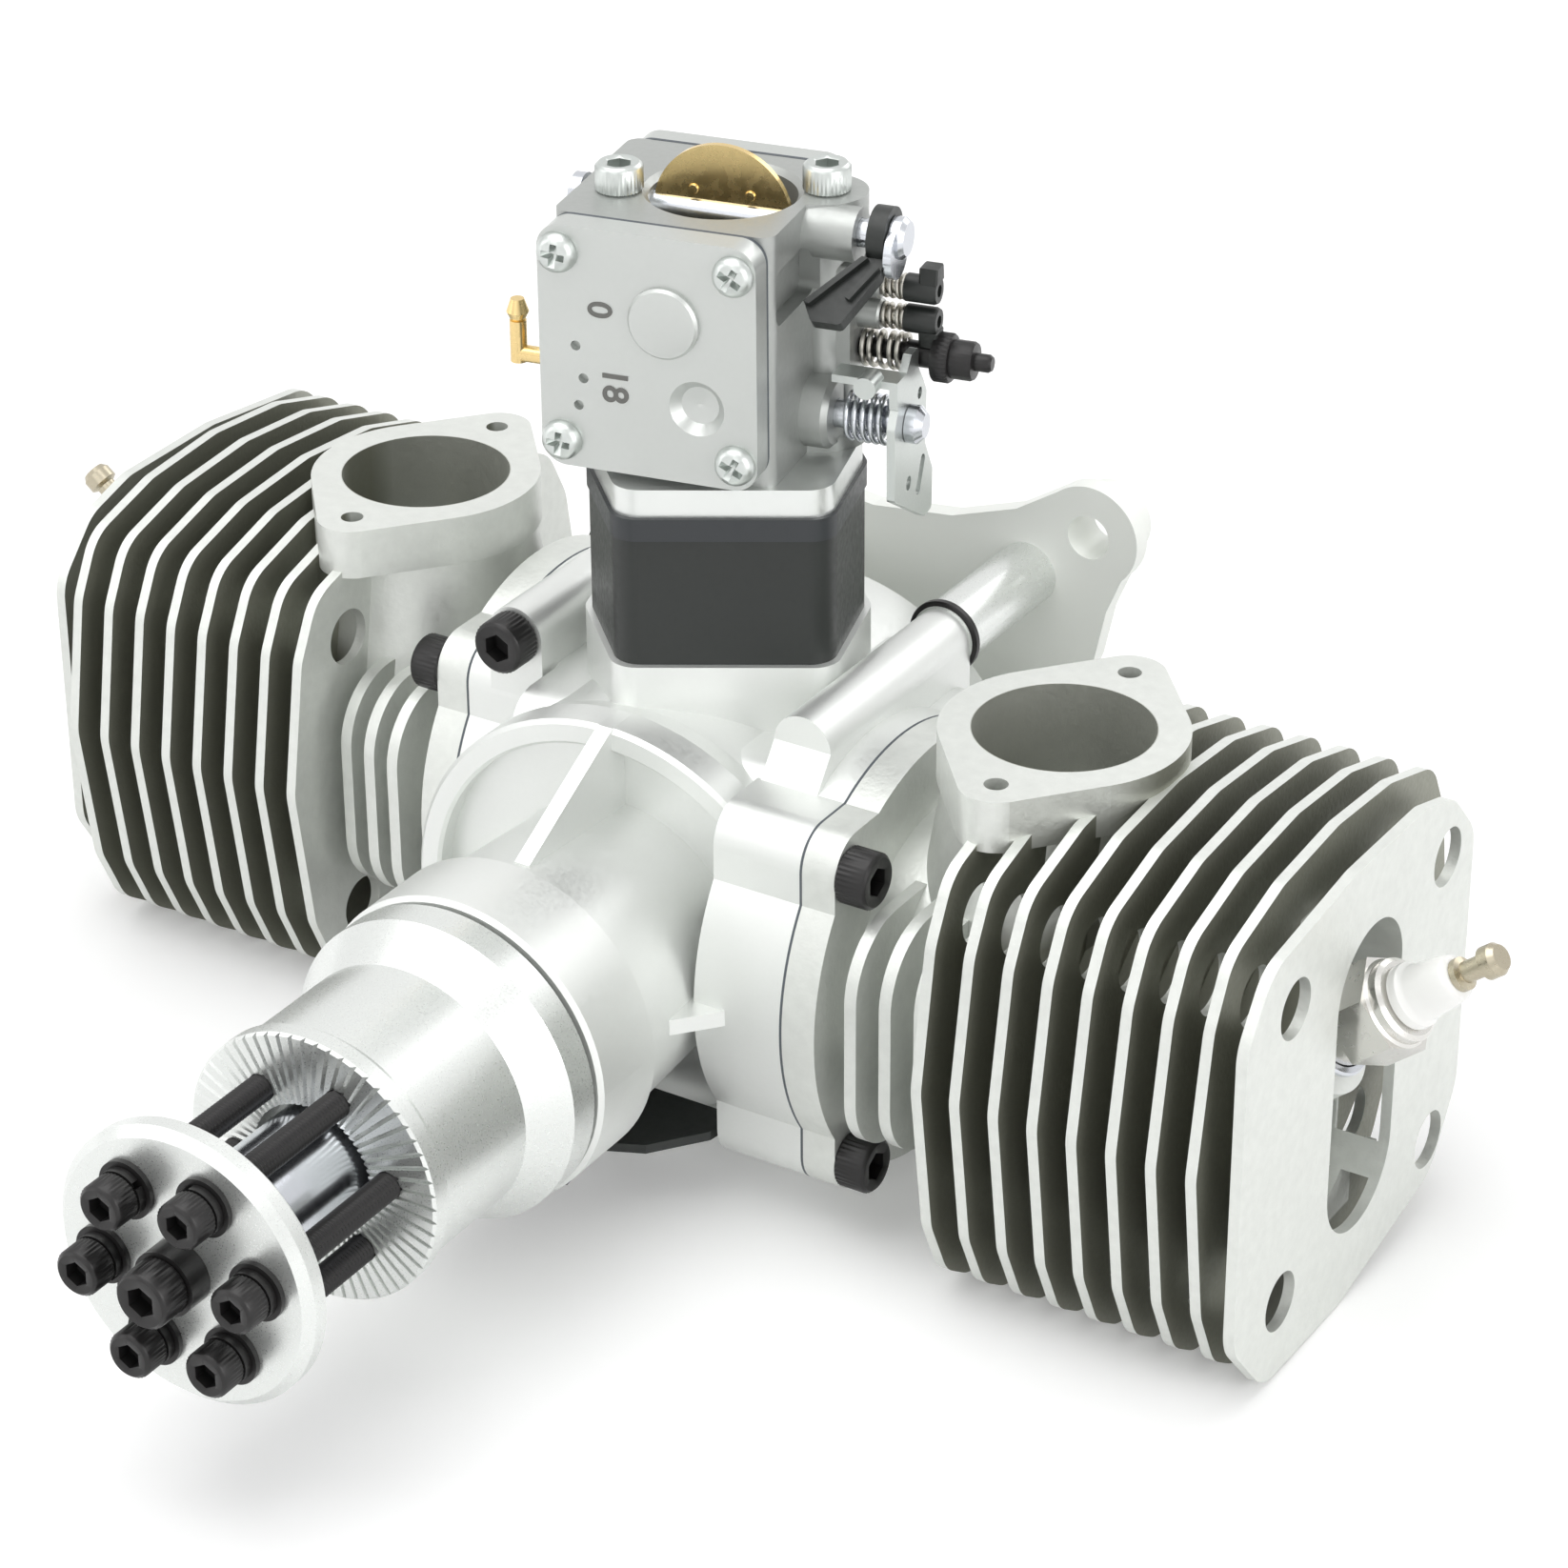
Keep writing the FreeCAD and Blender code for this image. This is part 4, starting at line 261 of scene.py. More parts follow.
def roughened(surface, shader, source, strength, distance):
    """Lets a noise stand out as fine relief."""
    bump = surface.node_tree.nodes.new("ShaderNodeBump")
    bump.inputs["Strength"].default_value = strength
    bump.inputs["Distance"].default_value = distance
    link(surface, source.outputs["Fac"], bump.inputs["Height"])
    link(surface, bump.outputs["Normal"], shader.inputs["Normal"])


def finish(name, colour, stretch=(1, 1, 1)):
    """A listed surface, whose colour clouds, roughness and grain all vary over the piece."""
    metallic, rough, wander, grain, bump, depth, cloud = SURFACES[name]
    surface, shader, place = new_surface(name)
    shader.inputs["Metallic"].default_value = metallic
    clouds = noise(surface, place, cloud)
    shade = tint(surface, clouds, colour, wander)
    link(surface, shade.outputs["Result"], shader.inputs["Base Color"])
    grit = noise(surface, place, grain, 3.0, stretch)
    span = spread(surface, grit, rough - 0.05, rough + 0.07)
    link(surface, span.outputs["Result"], shader.inputs["Roughness"])
    roughened(surface, shader, grit, bump, depth)
    return surface


def near(surface, value, low, high):
    """One where a value lies below the first number, fading to nothing at the second."""
    node = surface.node_tree.nodes.new("ShaderNodeMapRange")
    node.inputs["From Min"].default_value = low
    node.inputs["From Max"].default_value = high
    node.inputs["To Min"].default_value = 1
    node.inputs["To Max"].default_value = 0
    link(surface, value, node.inputs["Value"])
    return node.outputs["Result"]


def arithmetic(surface, first, second, operation="MULTIPLY"):
    """One step of arithmetic between two values, each a number or a socket."""
    node = surface.node_tree.nodes.new("ShaderNodeMath")
    node.operation = operation
    for socket, value in zip(node.inputs, (first, second)):
        if isinstance(value, (int, float)):
            socket.default_value = value
        else:
            link(surface, value, socket)
    return node.outputs["Value"]


def finned(name, bright, dull_and_shade, axis_y):
    """Cast metal, bright on the trimmed fin rims and dark on the fin faces, partly their as-cast tone and
    partly painted shade, with painted shade on the cylinder wall between the fins and inside the exhaust
    passage.
    """
    surface = finish(name, bright)
    nodes = surface.node_tree.nodes
    shader = nodes["Principled BSDF"]
    place = nodes["Texture Coordinate"]

    def calc(first, second, operation="MULTIPLY"):
        return arithmetic(surface, first, second, operation)

    def size_of(value):
        return calc(value, 0, "ABSOLUTE")

    def beyond(value, edge):
        return calc(1, near(surface, value, *edge), "SUBTRACT")

    facing = nodes.new("ShaderNodeSeparateXYZ")
    link(surface, place.outputs["Normal"], facing.inputs["Vector"])
    where = nodes.new("ShaderNodeSeparateXYZ")
    link(surface, place.outputs["Object"], where.inputs["Vector"])
    out = size_of(where.outputs["X"])
    across = size_of(calc(where.outputs["Y"], axis_y, "SUBTRACT"))
    up = size_of(where.outputs["Z"])
    tilt = calc(1, size_of(facing.outputs["X"]), "SUBTRACT")
    # Fin faces turn dark: partly their as-cast tone, partly painted shade between the fins.
    face = near(surface, tilt, *FACE_TILT)
    # Painted shade: the barrel between the fins is darkened as if in shadow.
    barrel_shade = near(surface, calc(calc(across, across), calc(up, up), "ADD"), *BARREL_SHADE_EDGE)
    opening = calc(near(surface, across, *OPENING_HALF_WIDTH), beyond(out, OPENING_FLOOR))
    opening = calc(opening, near(surface, up, *OPENING_HALF_HEIGHT))
    # The dark mask: as-cast tone on the fin faces, and painted shade on the fin faces, the barrel and the
    # exhaust duct.
    skin_and_shade = calc(face, barrel_shade, "MAXIMUM")
    skin_and_shade = calc(skin_and_shade, near(surface, out, *PLATE_START))
    skin_and_shade = calc(skin_and_shade, calc(1, opening, "SUBTRACT"))
    skin_and_shade = calc(skin_and_shade, beyond(out, FIN_START))
    # Painted shade inside the exhaust duct: its wall is darkened as if in shadow.
    along = calc(out, DUCT_AXIS, "SUBTRACT")
    duct_shade = near(surface, calc(calc(along, along), calc(across, across), "ADD"), *DUCT_SHADE_EDGE)
    skin_and_shade = calc(skin_and_shade, calc(duct_shade, DUCT_SHADE_DEPTH), "MAXIMUM")

    pick = nodes.new("ShaderNodeMix")
    pick.data_type = "RGBA"
    source = shader.inputs["Base Color"].links[0].from_socket
    link(surface, source, pick.inputs["A"])
    pick.inputs["B"].default_value = (*dull_and_shade, 1)
    link(surface, skin_and_shade, pick.inputs["Factor"])
    link(surface, pick.outputs["Result"], shader.inputs["Base Color"])
    return surface


def dress(surface, *names):
    """Gives a surface to CAD nodes."""
    for name in names:
        node = NODES[name]
        node.data.materials.clear()
        node.data.materials.append(surface)


def both(name):
    """The names of a right-hand and a left-hand piece."""
    return [name + "_right", name + "_left"]


class ENGINE_OT_finish_castings(bpy.types.Operator):
    """Blasted crankcase, cast cylinders and the die-cast carburettor"""
    bl_idname = "engine.finish_castings"
    bl_label = "Finish the castings"

    def execute(self, context):
        look = settings("engine_finish")
        case = finish("blasted_case", look.case_colour)
        dress(case, "crankcase", "rear_cover")
        for word, axis_y in (("right", MID - AXIS_STEP), ("left", MID + AXIS_STEP)):
            dress(finned("cast_cylinder_" + word, look.cast_colour, look.gap_skin_and_shade, axis_y * MM),
                  "cylinder_" + word)
        die_cast = finish("die_cast", look.carb_colour)
        dress(die_cast, "carb_body")
        cover = finish("die_cast_cover", [value * 1.3 for value in look.carb_colour])
        dress(cover, "metering_cover", "pump_cover")
        finish("cast_mark", (0.16, 0.16, 0.15))
        return {"FINISHED"}


class ENGINE_OT_finish_turned(bpy.types.Operator):
    """Turned aluminium of the hub and washer, machined plates, ground steel"""
    bl_idname = "engine.finish_turned"
    bl_label = "Finish the machined parts"

    def execute(self, context):
        look = settings("engine_finish")
        turned = finish("turned_aluminium", look.turned_colour)
        dress(turned, "prop_hub", "prop_washer", "standoffs")
        milled = finish("milled_plate", look.turned_colour)
        dress(milled, "adapter_plate", *both("piston"))
        satin = finish("satin_plate", (0.92, 0.94, 0.90))
        dress(satin, "mount_plate")
        steel = finish("ground_steel", look.steel_colour, (0.3, 8, 0.3))
        dress(steel, "prop_sleeve", "bearing_outer_rings", "bearing_inner_rings", "crank_front",
              "crank_rear", "throttle_shaft", "choke_shaft", "mixture_needles", "idle_screw",
              "throttle_spring", *both("connecting_rod"), *both("wrist_pin"), *both("piston_rings"))
        finish("spring_steel", (0.55, 0.53, 0.48))
        return {"FINISHED"}


class ENGINE_OT_finish_fasteners(bpy.types.Operator):
    """Black oxide cap screws, zinc screws and lever, brass fittings, plug metal"""
    bl_idname = "engine.finish_fasteners"
    bl_label = "Finish screws and fittings"

    def execute(self, context):
        look = settings("engine_finish")
        black = finish("black_oxide", look.black_colour)
        dress(black, "prop_bolts", "prop_flat_washers", "prop_spring_washers", "centre_bolt",
              "centre_collar", "case_screws", *both("base_screws"))
        zinc = finish("zinc_plate", look.zinc_colour)
        dress(zinc, "cover_screws", "carb_screws", "throttle_lever")
        brass = finish("plain_brass", look.brass_colour)
        dress(brass, "fuel_elbow", "throttle_plate", "choke_plate")
        nickel = finish("nickel_plate", (0.72, 0.71, 0.68))
        dress(nickel, *both("plug_shell"))
        tarnished = finish("tarnished_brass", (0.52, 0.47, 0.36))
        dress(tarnished, *both("plug_terminal"))
        return {"FINISHED"}


class ENGINE_OT_finish_moulded(bpy.types.Operator):
    """Black mouldings, gaskets and the glazed plug insulators"""
    bl_idname = "engine.finish_moulded"
    bl_label = "Finish mouldings and gaskets"

    def execute(self, context):
        black = finish("black_moulding", (0.018, 0.021, 0.019))
        dress(black, "insulator_block", "choke_lever", "ignition_sensor", "shaft_seal")
        sheet = finish("gasket_sheet", (0.10, 0.115, 0.13))
        dress(sheet, "cover_gaskets", *both("base_gasket"))
        smooth = finish("smooth_gasket", (0.03, 0.034, 0.038))
        dress(smooth, "gasket_plate")
        glaze = finish("white_glaze", (0.90, 0.90, 0.88))
        dress(glaze, *both("plug_insulator"))
        return {"FINISHED"}


# Shape tools. Every shape is drawn in millimetres about its own Z axis, then stood in the engine.


def stood(at, axis):
    """Stands a shape at a point with its own Z along an axis."""
    return Matrix.Translation(at) @ Vector(axis).to_track_quat("Z", "Y").to_matrix().to_4x4()


def hexagon(half):
    """Radius of a hexagon at an angle, from half its width across flats."""
    def reach(angle, height):
        return half / math.cos((angle + math.pi / 6) % (math.pi / 3) - math.pi / 6)
    return reach


def cross(half, reach):
    """Radius of a cross-shaped recess at an angle, from half its arm's width and its reach."""
    def edge(angle, height):
        turn = abs((angle + math.pi / 4) % (math.pi / 2) - math.pi / 4)
        return min(reach / math.cos(turn), half / max(math.sin(turn), 0.001))
    return edge


def knurled(radius, depth, teeth):
    """Radius of a knurled rim at an angle."""
    def reach(angle, height):
        return radius - depth * abs(math.sin(angle * teeth / 2))
    return reach


def threaded(radius, depth, pitch):
    """Radius of a screw thread at an angle and a height."""
    def reach(angle, height):
        phase = (height / pitch - angle / FULL) % 1
        return radius - depth * abs(2 * phase - 1)
    return reach


def loft(bm, rings, place, steps=48, arc=FULL):
    """Skins rings given as a radius, or a rule for the radius, and a height. Zero closes an end."""
    whole = arc >= FULL
    count = steps if whole else steps + 1
    rows = []
    for radius, height in rings:
        if radius == 0:
            rows.append([bm.verts.new(place @ Vector((0, 0, height)))])
            continue
        row = []
        for index in range(count):
            angle = arc * index / steps
            reach = radius(angle, height) if callable(radius) else radius
            point = Vector((reach * math.cos(angle), reach * math.sin(angle), height))
            row.append(bm.verts.new(place @ point))
        rows.append(row)
    for low, high in zip(rows, rows[1:]):
        for index in range(count if whole else steps):
            after = (index + 1) % count
            if len(low) == 1:
                bm.faces.new((low[0], high[after], high[index]))
            elif len(high) == 1:
                bm.faces.new((low[index], low[after], high[0]))
            else:
                bm.faces.new((low[index], low[after], high[after], high[index]))
    return rows


def tube(bm, line, wire, place, sides=10):
    """Sweeps a round wire along a line of points, with flat ends."""
    count = len(line)
    rows = []
    for index, point in enumerate(line):
        ahead = (line[min(index + 1, count - 1)] - line[max(index - 1, 0)]).normalized()
        side = ahead.cross(Vector((0, 0, 1)))
        side = side.normalized() if side.length > 0.01 else Vector((1, 0, 0))
        top = side.cross(ahead)
        row = []
        for step in range(sides):
            angle = FULL * step / sides
            away = side * math.cos(angle) + top * math.sin(angle)
            row.append(bm.verts.new(place @ (point + away * wire)))
        rows.append(row)
    for low, high in zip(rows, rows[1:]):
        for step in range(sides):
            after = (step + 1) % sides
            bm.faces.new((low[step], low[after], high[after], high[step]))
    bm.faces.new(rows[0][::-1])
    bm.faces.new(rows[-1])


def coil(bm, radius, wire, length, turns, place):
    """A coil spring about Z with its end turns closed."""
    line = []
    steps = int(turns * 28)
    for index in range(steps + 1):
        part = index / steps
        angle = FULL * turns * part
        rise = length * (part - 0.06 * math.sin(FULL * part))
        line.append(Vector((radius * math.cos(angle), radius * math.sin(angle), rise)))
    tube(bm, line, wire, place, 8)


def slab(bm, outline, low, high, place, ease=0.3):
    """A flat piece with eased edges, from a convex outline."""
    middle = Vector((sum(x for x, y in outline), sum(y for x, y in outline))) / len(outline)

    def ring(inset, height):
        row = []
        for x, y in outline:
            out = Vector((x, y)) - middle
            flat = middle + out * (1 - inset / out.length)
            row.append(bm.verts.new(place @ Vector((flat.x, flat.y, height))))
        return row

    rows = [ring(ease, low), ring(0, low + ease), ring(0, high - ease), ring(ease, high)]
    count = len(outline)
    for below, above in zip(rows, rows[1:]):
        for index in range(count):
            after = (index + 1) % count
            bm.faces.new((below[index], below[after], above[after], above[index]))
    bm.faces.new(rows[0][::-1])
    bm.faces.new(rows[-1])


def make(name, bm, surface, body, slot, *replaced):
    """Turns a drawing into a piece that rides a body."""
    bmesh.ops.recalc_face_normals(bm, faces=bm.faces)
    bmesh.ops.scale(bm, vec=(MM, MM, MM), verts=bm.verts)
    mesh = bpy.data.meshes.new(name)
    bm.to_mesh(mesh)
    bm.free()
    mesh.polygons.foreach_set("use_smooth", [True] * len(mesh.polygons))
    mesh.set_sharp_from_angle(angle=math.radians(SHARP_ANGLE))
    mesh.materials.append(surface)
    item = bpy.data.objects.new(name, mesh)
    bpy.context.scene.collection.objects.link(item)
    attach(item, body)
    if replaced:
        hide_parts(*replaced)
    return item


def surface_named(name):
    """A surface that an earlier step made."""
    return bpy.data.materials[name]


def cap_screw(bm, place, kind, length, thread=None):
    """A socket cap screw with a knurled head, its own Z running down the shank."""
    shank, head, height = kind
    rib = knurled(head, 0.16, 36)
    key = hexagon(head * 0.47)
    crown = [(shank, 0), (head - 0.4, 0), (rib, -0.3), (rib, 0.7 - height), (head - 0.3, 0.35 - height),
             (head - 0.7, -height), (head * 0.62, -height), (key, 0.25 - height), (key, -height * 0.45),
             (0, -height * 0.4)]
    tip = [(0, length), (shank - 0.5, length), (shank, length - 0.5)]
    if thread is None:
        loft(bm, tip + crown, place, 72)
        return
    start, end = thread
    pitch = shank * 0.32
    rows = int((end - start) / pitch * 8)
    screw = threaded(shank, pitch * 0.5, pitch)
    levels = [(screw, end + (start - end) * row / rows) for row in range(rows + 1)]
    loft(bm, tip + [(shank, end)] + levels + [(shank, start)], place, 36)
    loft(bm, [(shank, start)] + crown, place, 72)


def pan_screw(bm, place):
    """A pan head screw with a cross recess, its own Z running down the shank."""
    loft(bm, [
        (0, 4), (2, 4), (2, 0), (3.5, 0), (3.62, -0.25), (3.6, -0.8), (3.35, -1.5), (2.9, -2.05),
        (2.35, -2.4), (cross(0.62, 2.15), -2.5), (cross(0.5, 1.75), -1.9), (cross(0.3, 0.8), -0.9),
        (0, -0.7)], place, 96)


def area_light(name, at, aim, wide, watts):
    """A square light that faces a point."""
    lamp = bpy.data.lights.new(name, "AREA")
    lamp.shape = "RECTANGLE"
    lamp.size = wide
    lamp.size_y = wide
    lamp.energy = watts
    holder = bpy.data.objects.new(name, lamp)
    holder.location = at
    holder.rotation_euler = (Vector(aim) - Vector(at)).to_track_quat("-Z", "Y").to_euler()
    bpy.context.scene.collection.objects.link(holder)
    return holder


def add_camera(scene, stage):
    """The camera of the photograph."""
    lens = bpy.data.cameras.new("photo_camera")
    lens.sensor_width = SENSOR_MM
    lens.sensor_height = SENSOR_MM
    lens.lens = stage.lens
    lens.clip_start = 0.01
    lens.clip_end = 50
    camera = bpy.data.objects.new("photo_camera", lens)
    turn = Matrix((CAMERA_RIGHT, CAMERA_UP, CAMERA_BACK)).transposed().to_4x4()
    camera.matrix_world = Matrix.Translation(CAMERA_AT) @ turn
    scene.collection.objects.link(camera)
    scene.camera = camera


def seen_directly(owner):
    """One for rays from the camera and for mirror-like reflections, and nothing for all others."""
    path = owner.node_tree.nodes.new("ShaderNodeLightPath")
    return arithmetic(owner, path.outputs["Is Camera Ray"], path.outputs["Is Glossy Ray"], "MAXIMUM")


def add_floor(scene, stage):
    """A pale floor just below the fins that fades to plain white further out."""
    mesh = bpy.data.meshes.new("pale_floor")
    half = FLOOR_HALF
    corners = [(-half, -half, 0), (half, -half, 0), (half, half, 0), (-half, half, 0)]
    mesh.from_pydata(corners, [], [(0, 1, 2, 3)])
    floor = bpy.data.objects.new("pale_floor", mesh)
    floor.location = (0, 0, CAD_BOX[0][2] - FLOOR_GAP)
    scene.collection.objects.link(floor)
    surface, shader, place = new_surface("pale_floor")
    shader.inputs["Roughness"].default_value = 0.8
    shader.inputs["Specular IOR Level"].default_value = 0.2
    specks = noise(surface, place, 3)
    shade = tint(surface, specks, stage.floor_colour, 0.01)
    link(surface, shade.outputs["Result"], shader.inputs["Base Color"])
    shader.inputs["Emission Color"].default_value = (1, 1, 1, 1)
    nodes = surface.node_tree.nodes
    far = nodes.new("ShaderNodeVectorMath")
    far.operation = "LENGTH"
    link(surface, place.outputs["Object"], far.inputs[0])
    glow = nodes.new("ShaderNodeMapRange")
    for edge, value in zip(("From Min", "From Max", "To Min", "To Max"), FLOOR_GLOW):
        glow.inputs[edge].default_value = value
    link(surface, far.outputs["Value"], glow.inputs["Value"])
    gain = arithmetic(surface, seen_directly(surface), glow.outputs["Result"])
    link(surface, gain, shader.inputs["Emission Strength"])
    mesh.materials.append(surface)


def light_room(scene, stage):
    """Even white light from all round, with a plain white background."""
    world = bpy.data.worlds.new("studio_room")
    scene.world = world
    world.use_nodes = True
    sky = world.node_tree.nodes["Background"]
    sky.inputs["Color"].default_value = (1, 1, 1, 1)
    pick = world.node_tree.nodes.new("ShaderNodeMix")
    pick.data_type = "FLOAT"
    pick.inputs["A"].default_value = stage.world_level
    pick.inputs["B"].default_value = 1.0
    link(world, seen_directly(world), pick.inputs["Factor"])
    link(world, pick.outputs["Result"], sky.inputs["Strength"])


def add_lamps(stage):
    """Large soft lights above, to both sides, in front and behind."""
    side = stage.side_watts
    area_light("top_light", (-0.25, -0.1, 1.5), ENGINE_MIDDLE, 1.5, stage.key_watts)
    area_light("left_light", (-1.3, -0.9, 0.7), ENGINE_MIDDLE, 1.0, side * 0.4)
    area_light("right_light", (1.5, -0.3, 0.6), ENGINE_MIDDLE, 1.0, side)
    area_light("front_light", (0.2, -1.6, 1.0), ENGINE_MIDDLE, 1.2, side * 0.35)
    area_light("rear_light", (0.4, 1.6, 0.9), ENGINE_MIDDLE, 0.9, side * 0.5)


class ENGINE_OT_set_stage(bpy.types.Operator):
    """Camera of the photograph, pale floor and soft studio light"""
    bl_idname = "engine.set_stage"
    bl_label = "Set the stage"

    def execute(self, context):
        stage = settings("engine_stage")
        scene = bpy.context.scene
        add_camera(scene, stage)
        add_floor(scene, stage)
        light_room(scene, stage)
        add_lamps(stage)
        scene.view_settings.view_transform = "Standard"
        return {"FINISHED"}


class ENGINE_OT_add_propeller_screws(bpy.types.Operator):
    """Six threaded propeller screws with split washers, and the centre screw"""
    bl_idname = "engine.add_propeller_screws"
    bl_label = "Add the propeller screws"

    def execute(self, context):
        bolts = bmesh.new()
        washers = bmesh.new()
        for index in range(6):
            angle = math.radians(PROP_START + 60 * index)
            at = (PROP_CIRCLE * math.cos(angle), PROP_FACE, PROP_CIRCLE * math.sin(angle))
            place = stood(at, (0, 1, 0))
            cap_screw(bolts, place, M5, 49.9, (6, 38))
            ring = [(2.6, 0.05), (4.3, 0.05), (4.3, 1.5), (2.6, 1.5), (2.6, 0.05)]
            loft(washers, ring, place @ Matrix.Rotation(index * 1.3, 4, "Z"), 40, FULL * SPLIT)
        bmesh.ops.remove_doubles(washers, verts=washers.verts, dist=0.001)
        bmesh.ops.holes_fill(washers, edges=washers.edges, sides=4)
        black = surface_named("black_oxide")
        make("propeller_screws", bolts, black, "crankshaft", "prop_bolts", "prop_bolts")
        make("split_washers", washers, black, "crankshaft", "prop_spring_washers",
             "prop_spring_washers")
        centre = bmesh.new()
        cap_screw(centre, stood((0, CENTRE_FACE, 0), (0, 1, 0)), M6, 62.9)
        make("centre_screw", centre, black, "crankshaft", "centre_bolt", "centre_bolt")
        return {"FINISHED"}


class ENGINE_OT_add_cap_screws(bpy.types.Operator):
    """Knurled socket cap screws of the case, the cylinder bases and the carburettor"""
    bl_idname = "engine.add_cap_screws"
    bl_label = "Add the cap screws"

    def execute(self, context):
        black = surface_named("black_oxide")
        case = bmesh.new()
        for height in CASE_SCREW_HEIGHTS:
            cap_screw(case, stood((-CASE_SCREW_ACROSS, 108.8, height), (0, 1, 0)), M6, 73.1)
            cap_screw(case, stood((CASE_SCREW_ACROSS, 182.9, height), (0, -1, 0)), M6_LOW, 69.5)
        make("long_case_screws", case, black, "engine", "case_screws", "case_screws")
        for word, turn in SIDES:
            base = bmesh.new()
            for across in (-BASE_ACROSS, BASE_ACROSS):
                for up in (-BASE_UP, BASE_UP):
                    place = turn @ stood((BASE_FACE, MID - AXIS_STEP + across, up), (-1, 0, 0))
                    cap_screw(base, place, M6, 20)
            make("knurled_base_screws_" + word, base, black, "engine", "base_screws_" + word,
                 "base_screws_" + word)
        intake = bmesh.new()
        for side in (-EAR_ACROSS, EAR_ACROSS):
            cap_screw(intake, EARS @ stood((side, 0, EAR_FACE), (0, 0, -1)), M5, 50.6)
        make("intake_screws", intake, surface_named("zinc_plate"), "engine", "carb_screws",
             "carb_screws")
        return {"FINISHED"}


class ENGINE_OT_add_cover_screws(bpy.types.Operator):
    """Cross-head screws of the carburettor covers, the closed vent and the cast digits"""
    bl_idname = "engine.add_cover_screws"
    bl_label = "Add the cover screws and marks"

    def execute(self, context):
        screws = bmesh.new()
        for across in (-20.6, 11.2):
            for up in (6.55, 41.15):
                turn = Matrix.Rotation(across + up, 4, "Z")
                pan_screw(screws, CARB @ stood((across, COVER_FACE, up), (0, 1, 0)) @ turn)
        pan_screw(screws, CARB @ stood((-4.7, 22.3, 23.85), (0, -1, 0)))
        make("cross_head_screws", screws, surface_named("zinc_plate"), "engine", "cover_screws",
             "cover_screws")
        vent = bmesh.new()
        loft(vent, [(0, 0.12), (5.2, 0.12), (5.75, 0), (5.9, -0.25), (5.9, -0.6), (0, -0.6)],
             CARB @ stood((-1.5, -25.5, 30.8), (0, -1, 0)), 64)
        make("vent_face", vent, surface_named("die_cast_cover"), "engine", "metering_cover")
        pins = bmesh.new()
        for across in (-5.2, 5.2):
            loft(pins, [(0, 0.45), (0.8, 0.4), (1, 0.1), (1, -0.2), (0, -0.2)],
                 CARB @ stood((across, -0.6, 45.6), (0, -1, 0)), 24)
        make("choke_plate_rivets", pins, surface_named("plain_brass"), "choke", "choke_plate")
        for number, across, up, high in (("0", -13.4, 31.5, 6.2), ("18", -10.9, 17.9, 6.6)):
            curve = bpy.data.curves.new("cast_digit_" + number, "FONT")
            curve.body = number
            curve.size = high * MM
            curve.extrude = 0.00012
            curve.bevel_depth = 0.00008
            curve.align_x = "CENTER"
            curve.align_y = "CENTER"
            curve.materials.append(surface_named("cast_mark"))
            item = bpy.data.objects.new("cast_digit_" + number, curve)
            down = Matrix(((0, 1, 0), (0, 0, -1), (-1, 0, 0))).to_4x4()
            place = CARB @ Matrix.Translation((across, COVER_FACE - 0.02, up)) @ down
            place.translation *= MM
            item.matrix_world = place
            context.scene.collection.objects.link(item)
            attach(item, "engine")
        return {"FINISHED"}


class ENGINE_OT_add_adjusters(bpy.types.Operator):
    """Sprung mixture needles with their black caps, and the sprung idle screw"""
    bl_idname = "engine.add_adjusters"
    bl_label = "Add the adjusting screws"

    def execute(self, context):
        across = Matrix.Rotation(math.pi / 2, 4, "Y")
        stems = bmesh.new()
        caps = bmesh.new()
        sleeve = bmesh.new()
        for up, tab in ((29.2, -1), (23.5, 1)):
            place = CARB @ Matrix.Translation((*NEEDLE_FACE, up)) @ across
            loft(stems, [(0, -1.5), (1.5, -1.5), (1.5, 9), (0, 9)], place, 24)
            coil(stems, 2, 0.38, 4.1, 4, place @ Matrix.Translation((0, 0, 4.1)))
            loft(caps, [
                (1.2, 8.2), (2.3, 8.2), (2.5, 8.4), (2.5, 13.6), (2.2, 14.2), (1.1, 14.2), (1.1, 13),
                (0, 13)], place, 40)
            outline = [(tab * 1.6, -2), (tab * 4.5, -1.7), (tab * 4.5, 1.7), (tab * 1.6, 2)]
            slab(caps, outline, 11, 14.4, place)
            loft(sleeve, [(0, -0.4), (2.75, -0.4), (2.75, 3.6), (2.45, 4), (0, 4)], place, 40)
        steel = surface_named("spring_steel")
        make("needle_springs", stems, steel, "engine", "mixture_needles", "mixture_needles")
        make("needle_caps", caps, surface_named("black_moulding"), "engine", "choke_lever")
        make("needle_sleeves", sleeve, surface_named("die_cast"), "engine", "carb_body")

        place = CARB @ Matrix.Translation((*NEEDLE_FACE, 17)) @ across
        spring = bmesh.new()
        coil(spring, 3, 0.48, 7.8, 5.5, place @ Matrix.Translation((0, 0, 0.4)))
        make("idle_spring", spring, steel, "engine", "throttle_spring")
        screw = bmesh.new()
        disc = knurled(4.4, 0.22, 36)
        drum = knurled(3.5, 0.12, 30)
        loft(screw, [
            (0, -1.5), (1.7, -1.5), (1.7, 8.4), (2.3, 8.6), (2.3, 13.6), (4.1, 13.7), (disc, 14),
            (disc, 16.4), (4.1, 16.8), (3.4, 16.9), (drum, 17.1), (drum, 20.4), (3.2, 20.9), (1.6, 21),
            (1.6, 23.4), (1.2, 24), (0, 24)], place, 72)
        make("stepped_idle_screw", screw, surface_named("black_oxide"), "engine", "idle_screw",
             "idle_screw")
        return {"FINISHED"}


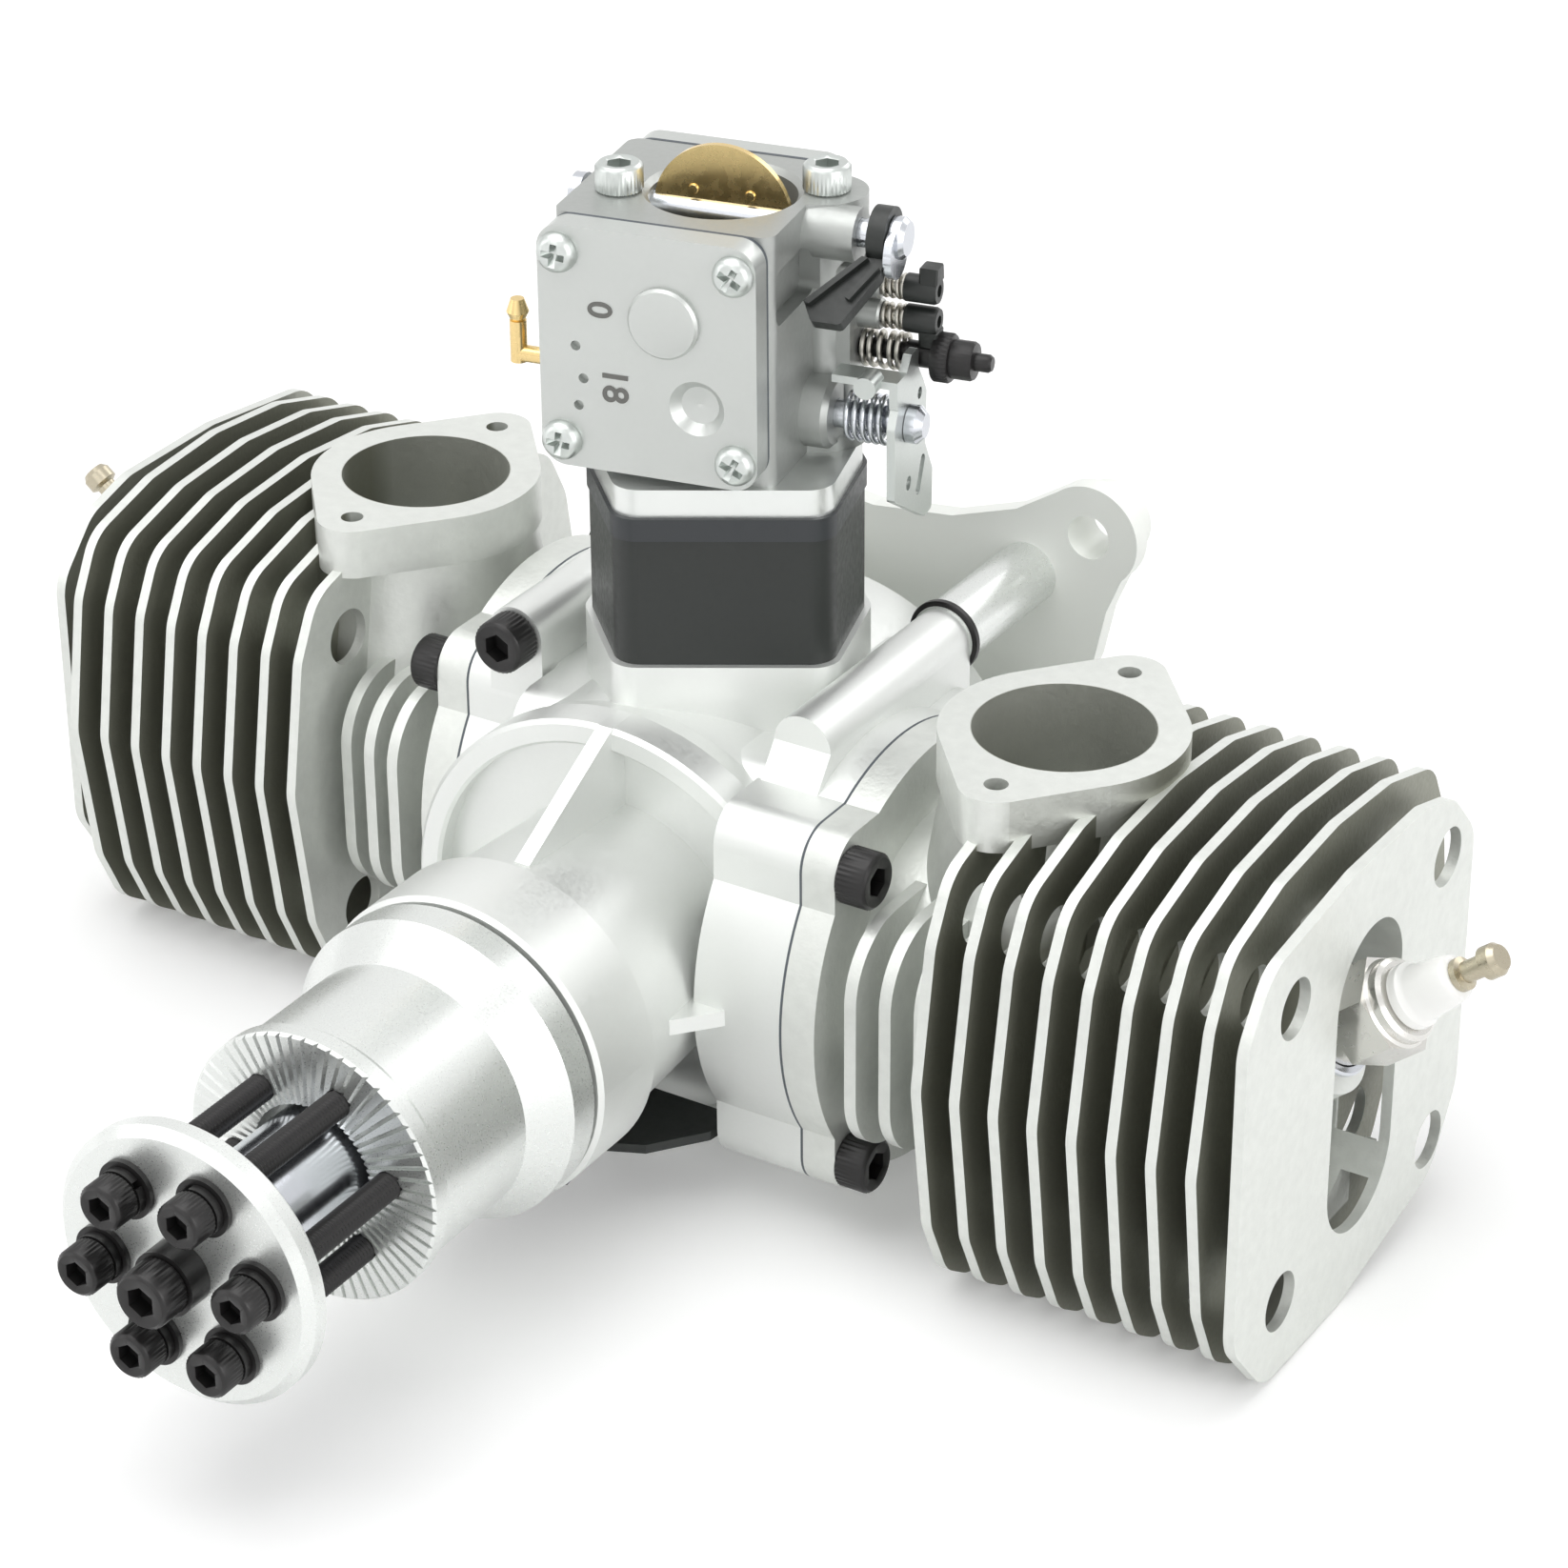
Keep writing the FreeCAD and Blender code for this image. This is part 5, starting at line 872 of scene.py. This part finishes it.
class ENGINE_OT_add_plugs(bpy.types.Operator):
    """Glazed insulators and sealing rings of the two spark plugs, and the standoff collars"""
    bl_idname = "engine.add_plugs"
    bl_label = "Add the plug details"

    def execute(self, context):
        for word, turn in SIDES:
            place = turn @ PLUG
            glazed = bmesh.new()
            loft(glazed, [
                (0, 17.6), (4.8, 17.6), (5.1, 19), (5.7, 19.5), (5.85, 20.3), (5.7, 21.2), (5.1, 21.8),
                (4.9, 22.4), (4.7, 25), (4.45, 27.6), (4.2, 29.3), (3.8, 30), (3, 30.4), (0, 30.4)],
                place, 64)
            make("glazed_insulator_" + word, glazed, surface_named("white_glaze"), "engine",
                 "plug_insulator_" + word, "plug_insulator_" + word)
            ring = bmesh.new()
            loft(ring, [
                (6.8, 1.7), (7.8, 1.75), (8.2, 2.2), (8.2, 2.9), (7.8, 3.3), (6.8, 3.35), (6.5, 2.5),
                (6.8, 1.7)], place, 64)
            bmesh.ops.remove_doubles(ring, verts=ring.verts, dist=0.001)
            make("sealing_ring_" + word, ring, surface_named("ground_steel"), "engine",
                 "plug_shell_" + word)
        collars = bmesh.new()
        for height in CASE_SCREW_HEIGHTS:
            loft(collars, [
                (6.05, 0.1), (6.8, 0.1), (7, 0.3), (7, 1.3), (6.8, 1.5), (6.05, 1.5), (6.05, 0.1)],
                stood((CASE_SCREW_ACROSS, 148, height), (0, 1, 0)), 48)
        bmesh.ops.remove_doubles(collars, verts=collars.verts, dist=0.001)
        make("standoff_collars", collars, surface_named("black_oxide"), "engine", "case_screws")
        return {"FINISHED"}


class ENGINE_PT_dresser(bpy.types.Panel):
    """Sizes, colours and steps of the engine's dressing"""
    bl_idname = "ENGINE_PT_dresser"
    bl_label = "Flat Engine"
    bl_space_type = "VIEW_3D"
    bl_region_type = "UI"
    bl_category = "Engine"

    def draw(self, context):
        for group in ("engine_finish", "engine_stage"):
            values = settings(group)
            for key in values.__annotations__:
                self.layout.prop(values, key)
        for step in STEPS:
            self.layout.operator(step.bl_idname)


STEPS = (
    ENGINE_OT_finish_castings,
    ENGINE_OT_finish_turned,
    ENGINE_OT_finish_fasteners,
    ENGINE_OT_finish_moulded,
    ENGINE_OT_add_propeller_screws,
    ENGINE_OT_add_cap_screws,
    ENGINE_OT_add_cover_screws,
    ENGINE_OT_add_adjusters,
    ENGINE_OT_add_plugs,
    ENGINE_OT_set_stage,
)
CLASSES = (StageSettings, FinishSettings) + STEPS + (ENGINE_PT_dresser,)


def register():
    for item in CLASSES:
        bpy.utils.register_class(item)
    bpy.types.Scene.engine_stage = bpy.props.PointerProperty(type=StageSettings)
    bpy.types.Scene.engine_finish = bpy.props.PointerProperty(type=FinishSettings)


def unregister():
    del bpy.types.Scene.engine_finish
    del bpy.types.Scene.engine_stage
    for item in reversed(CLASSES):
        bpy.utils.unregister_class(item)


def main():
    register()
    for step in STEPS:
        area, name = step.bl_idname.split(".")
        getattr(getattr(bpy.ops, area), name)()


if __name__ == "__main__":
    main()
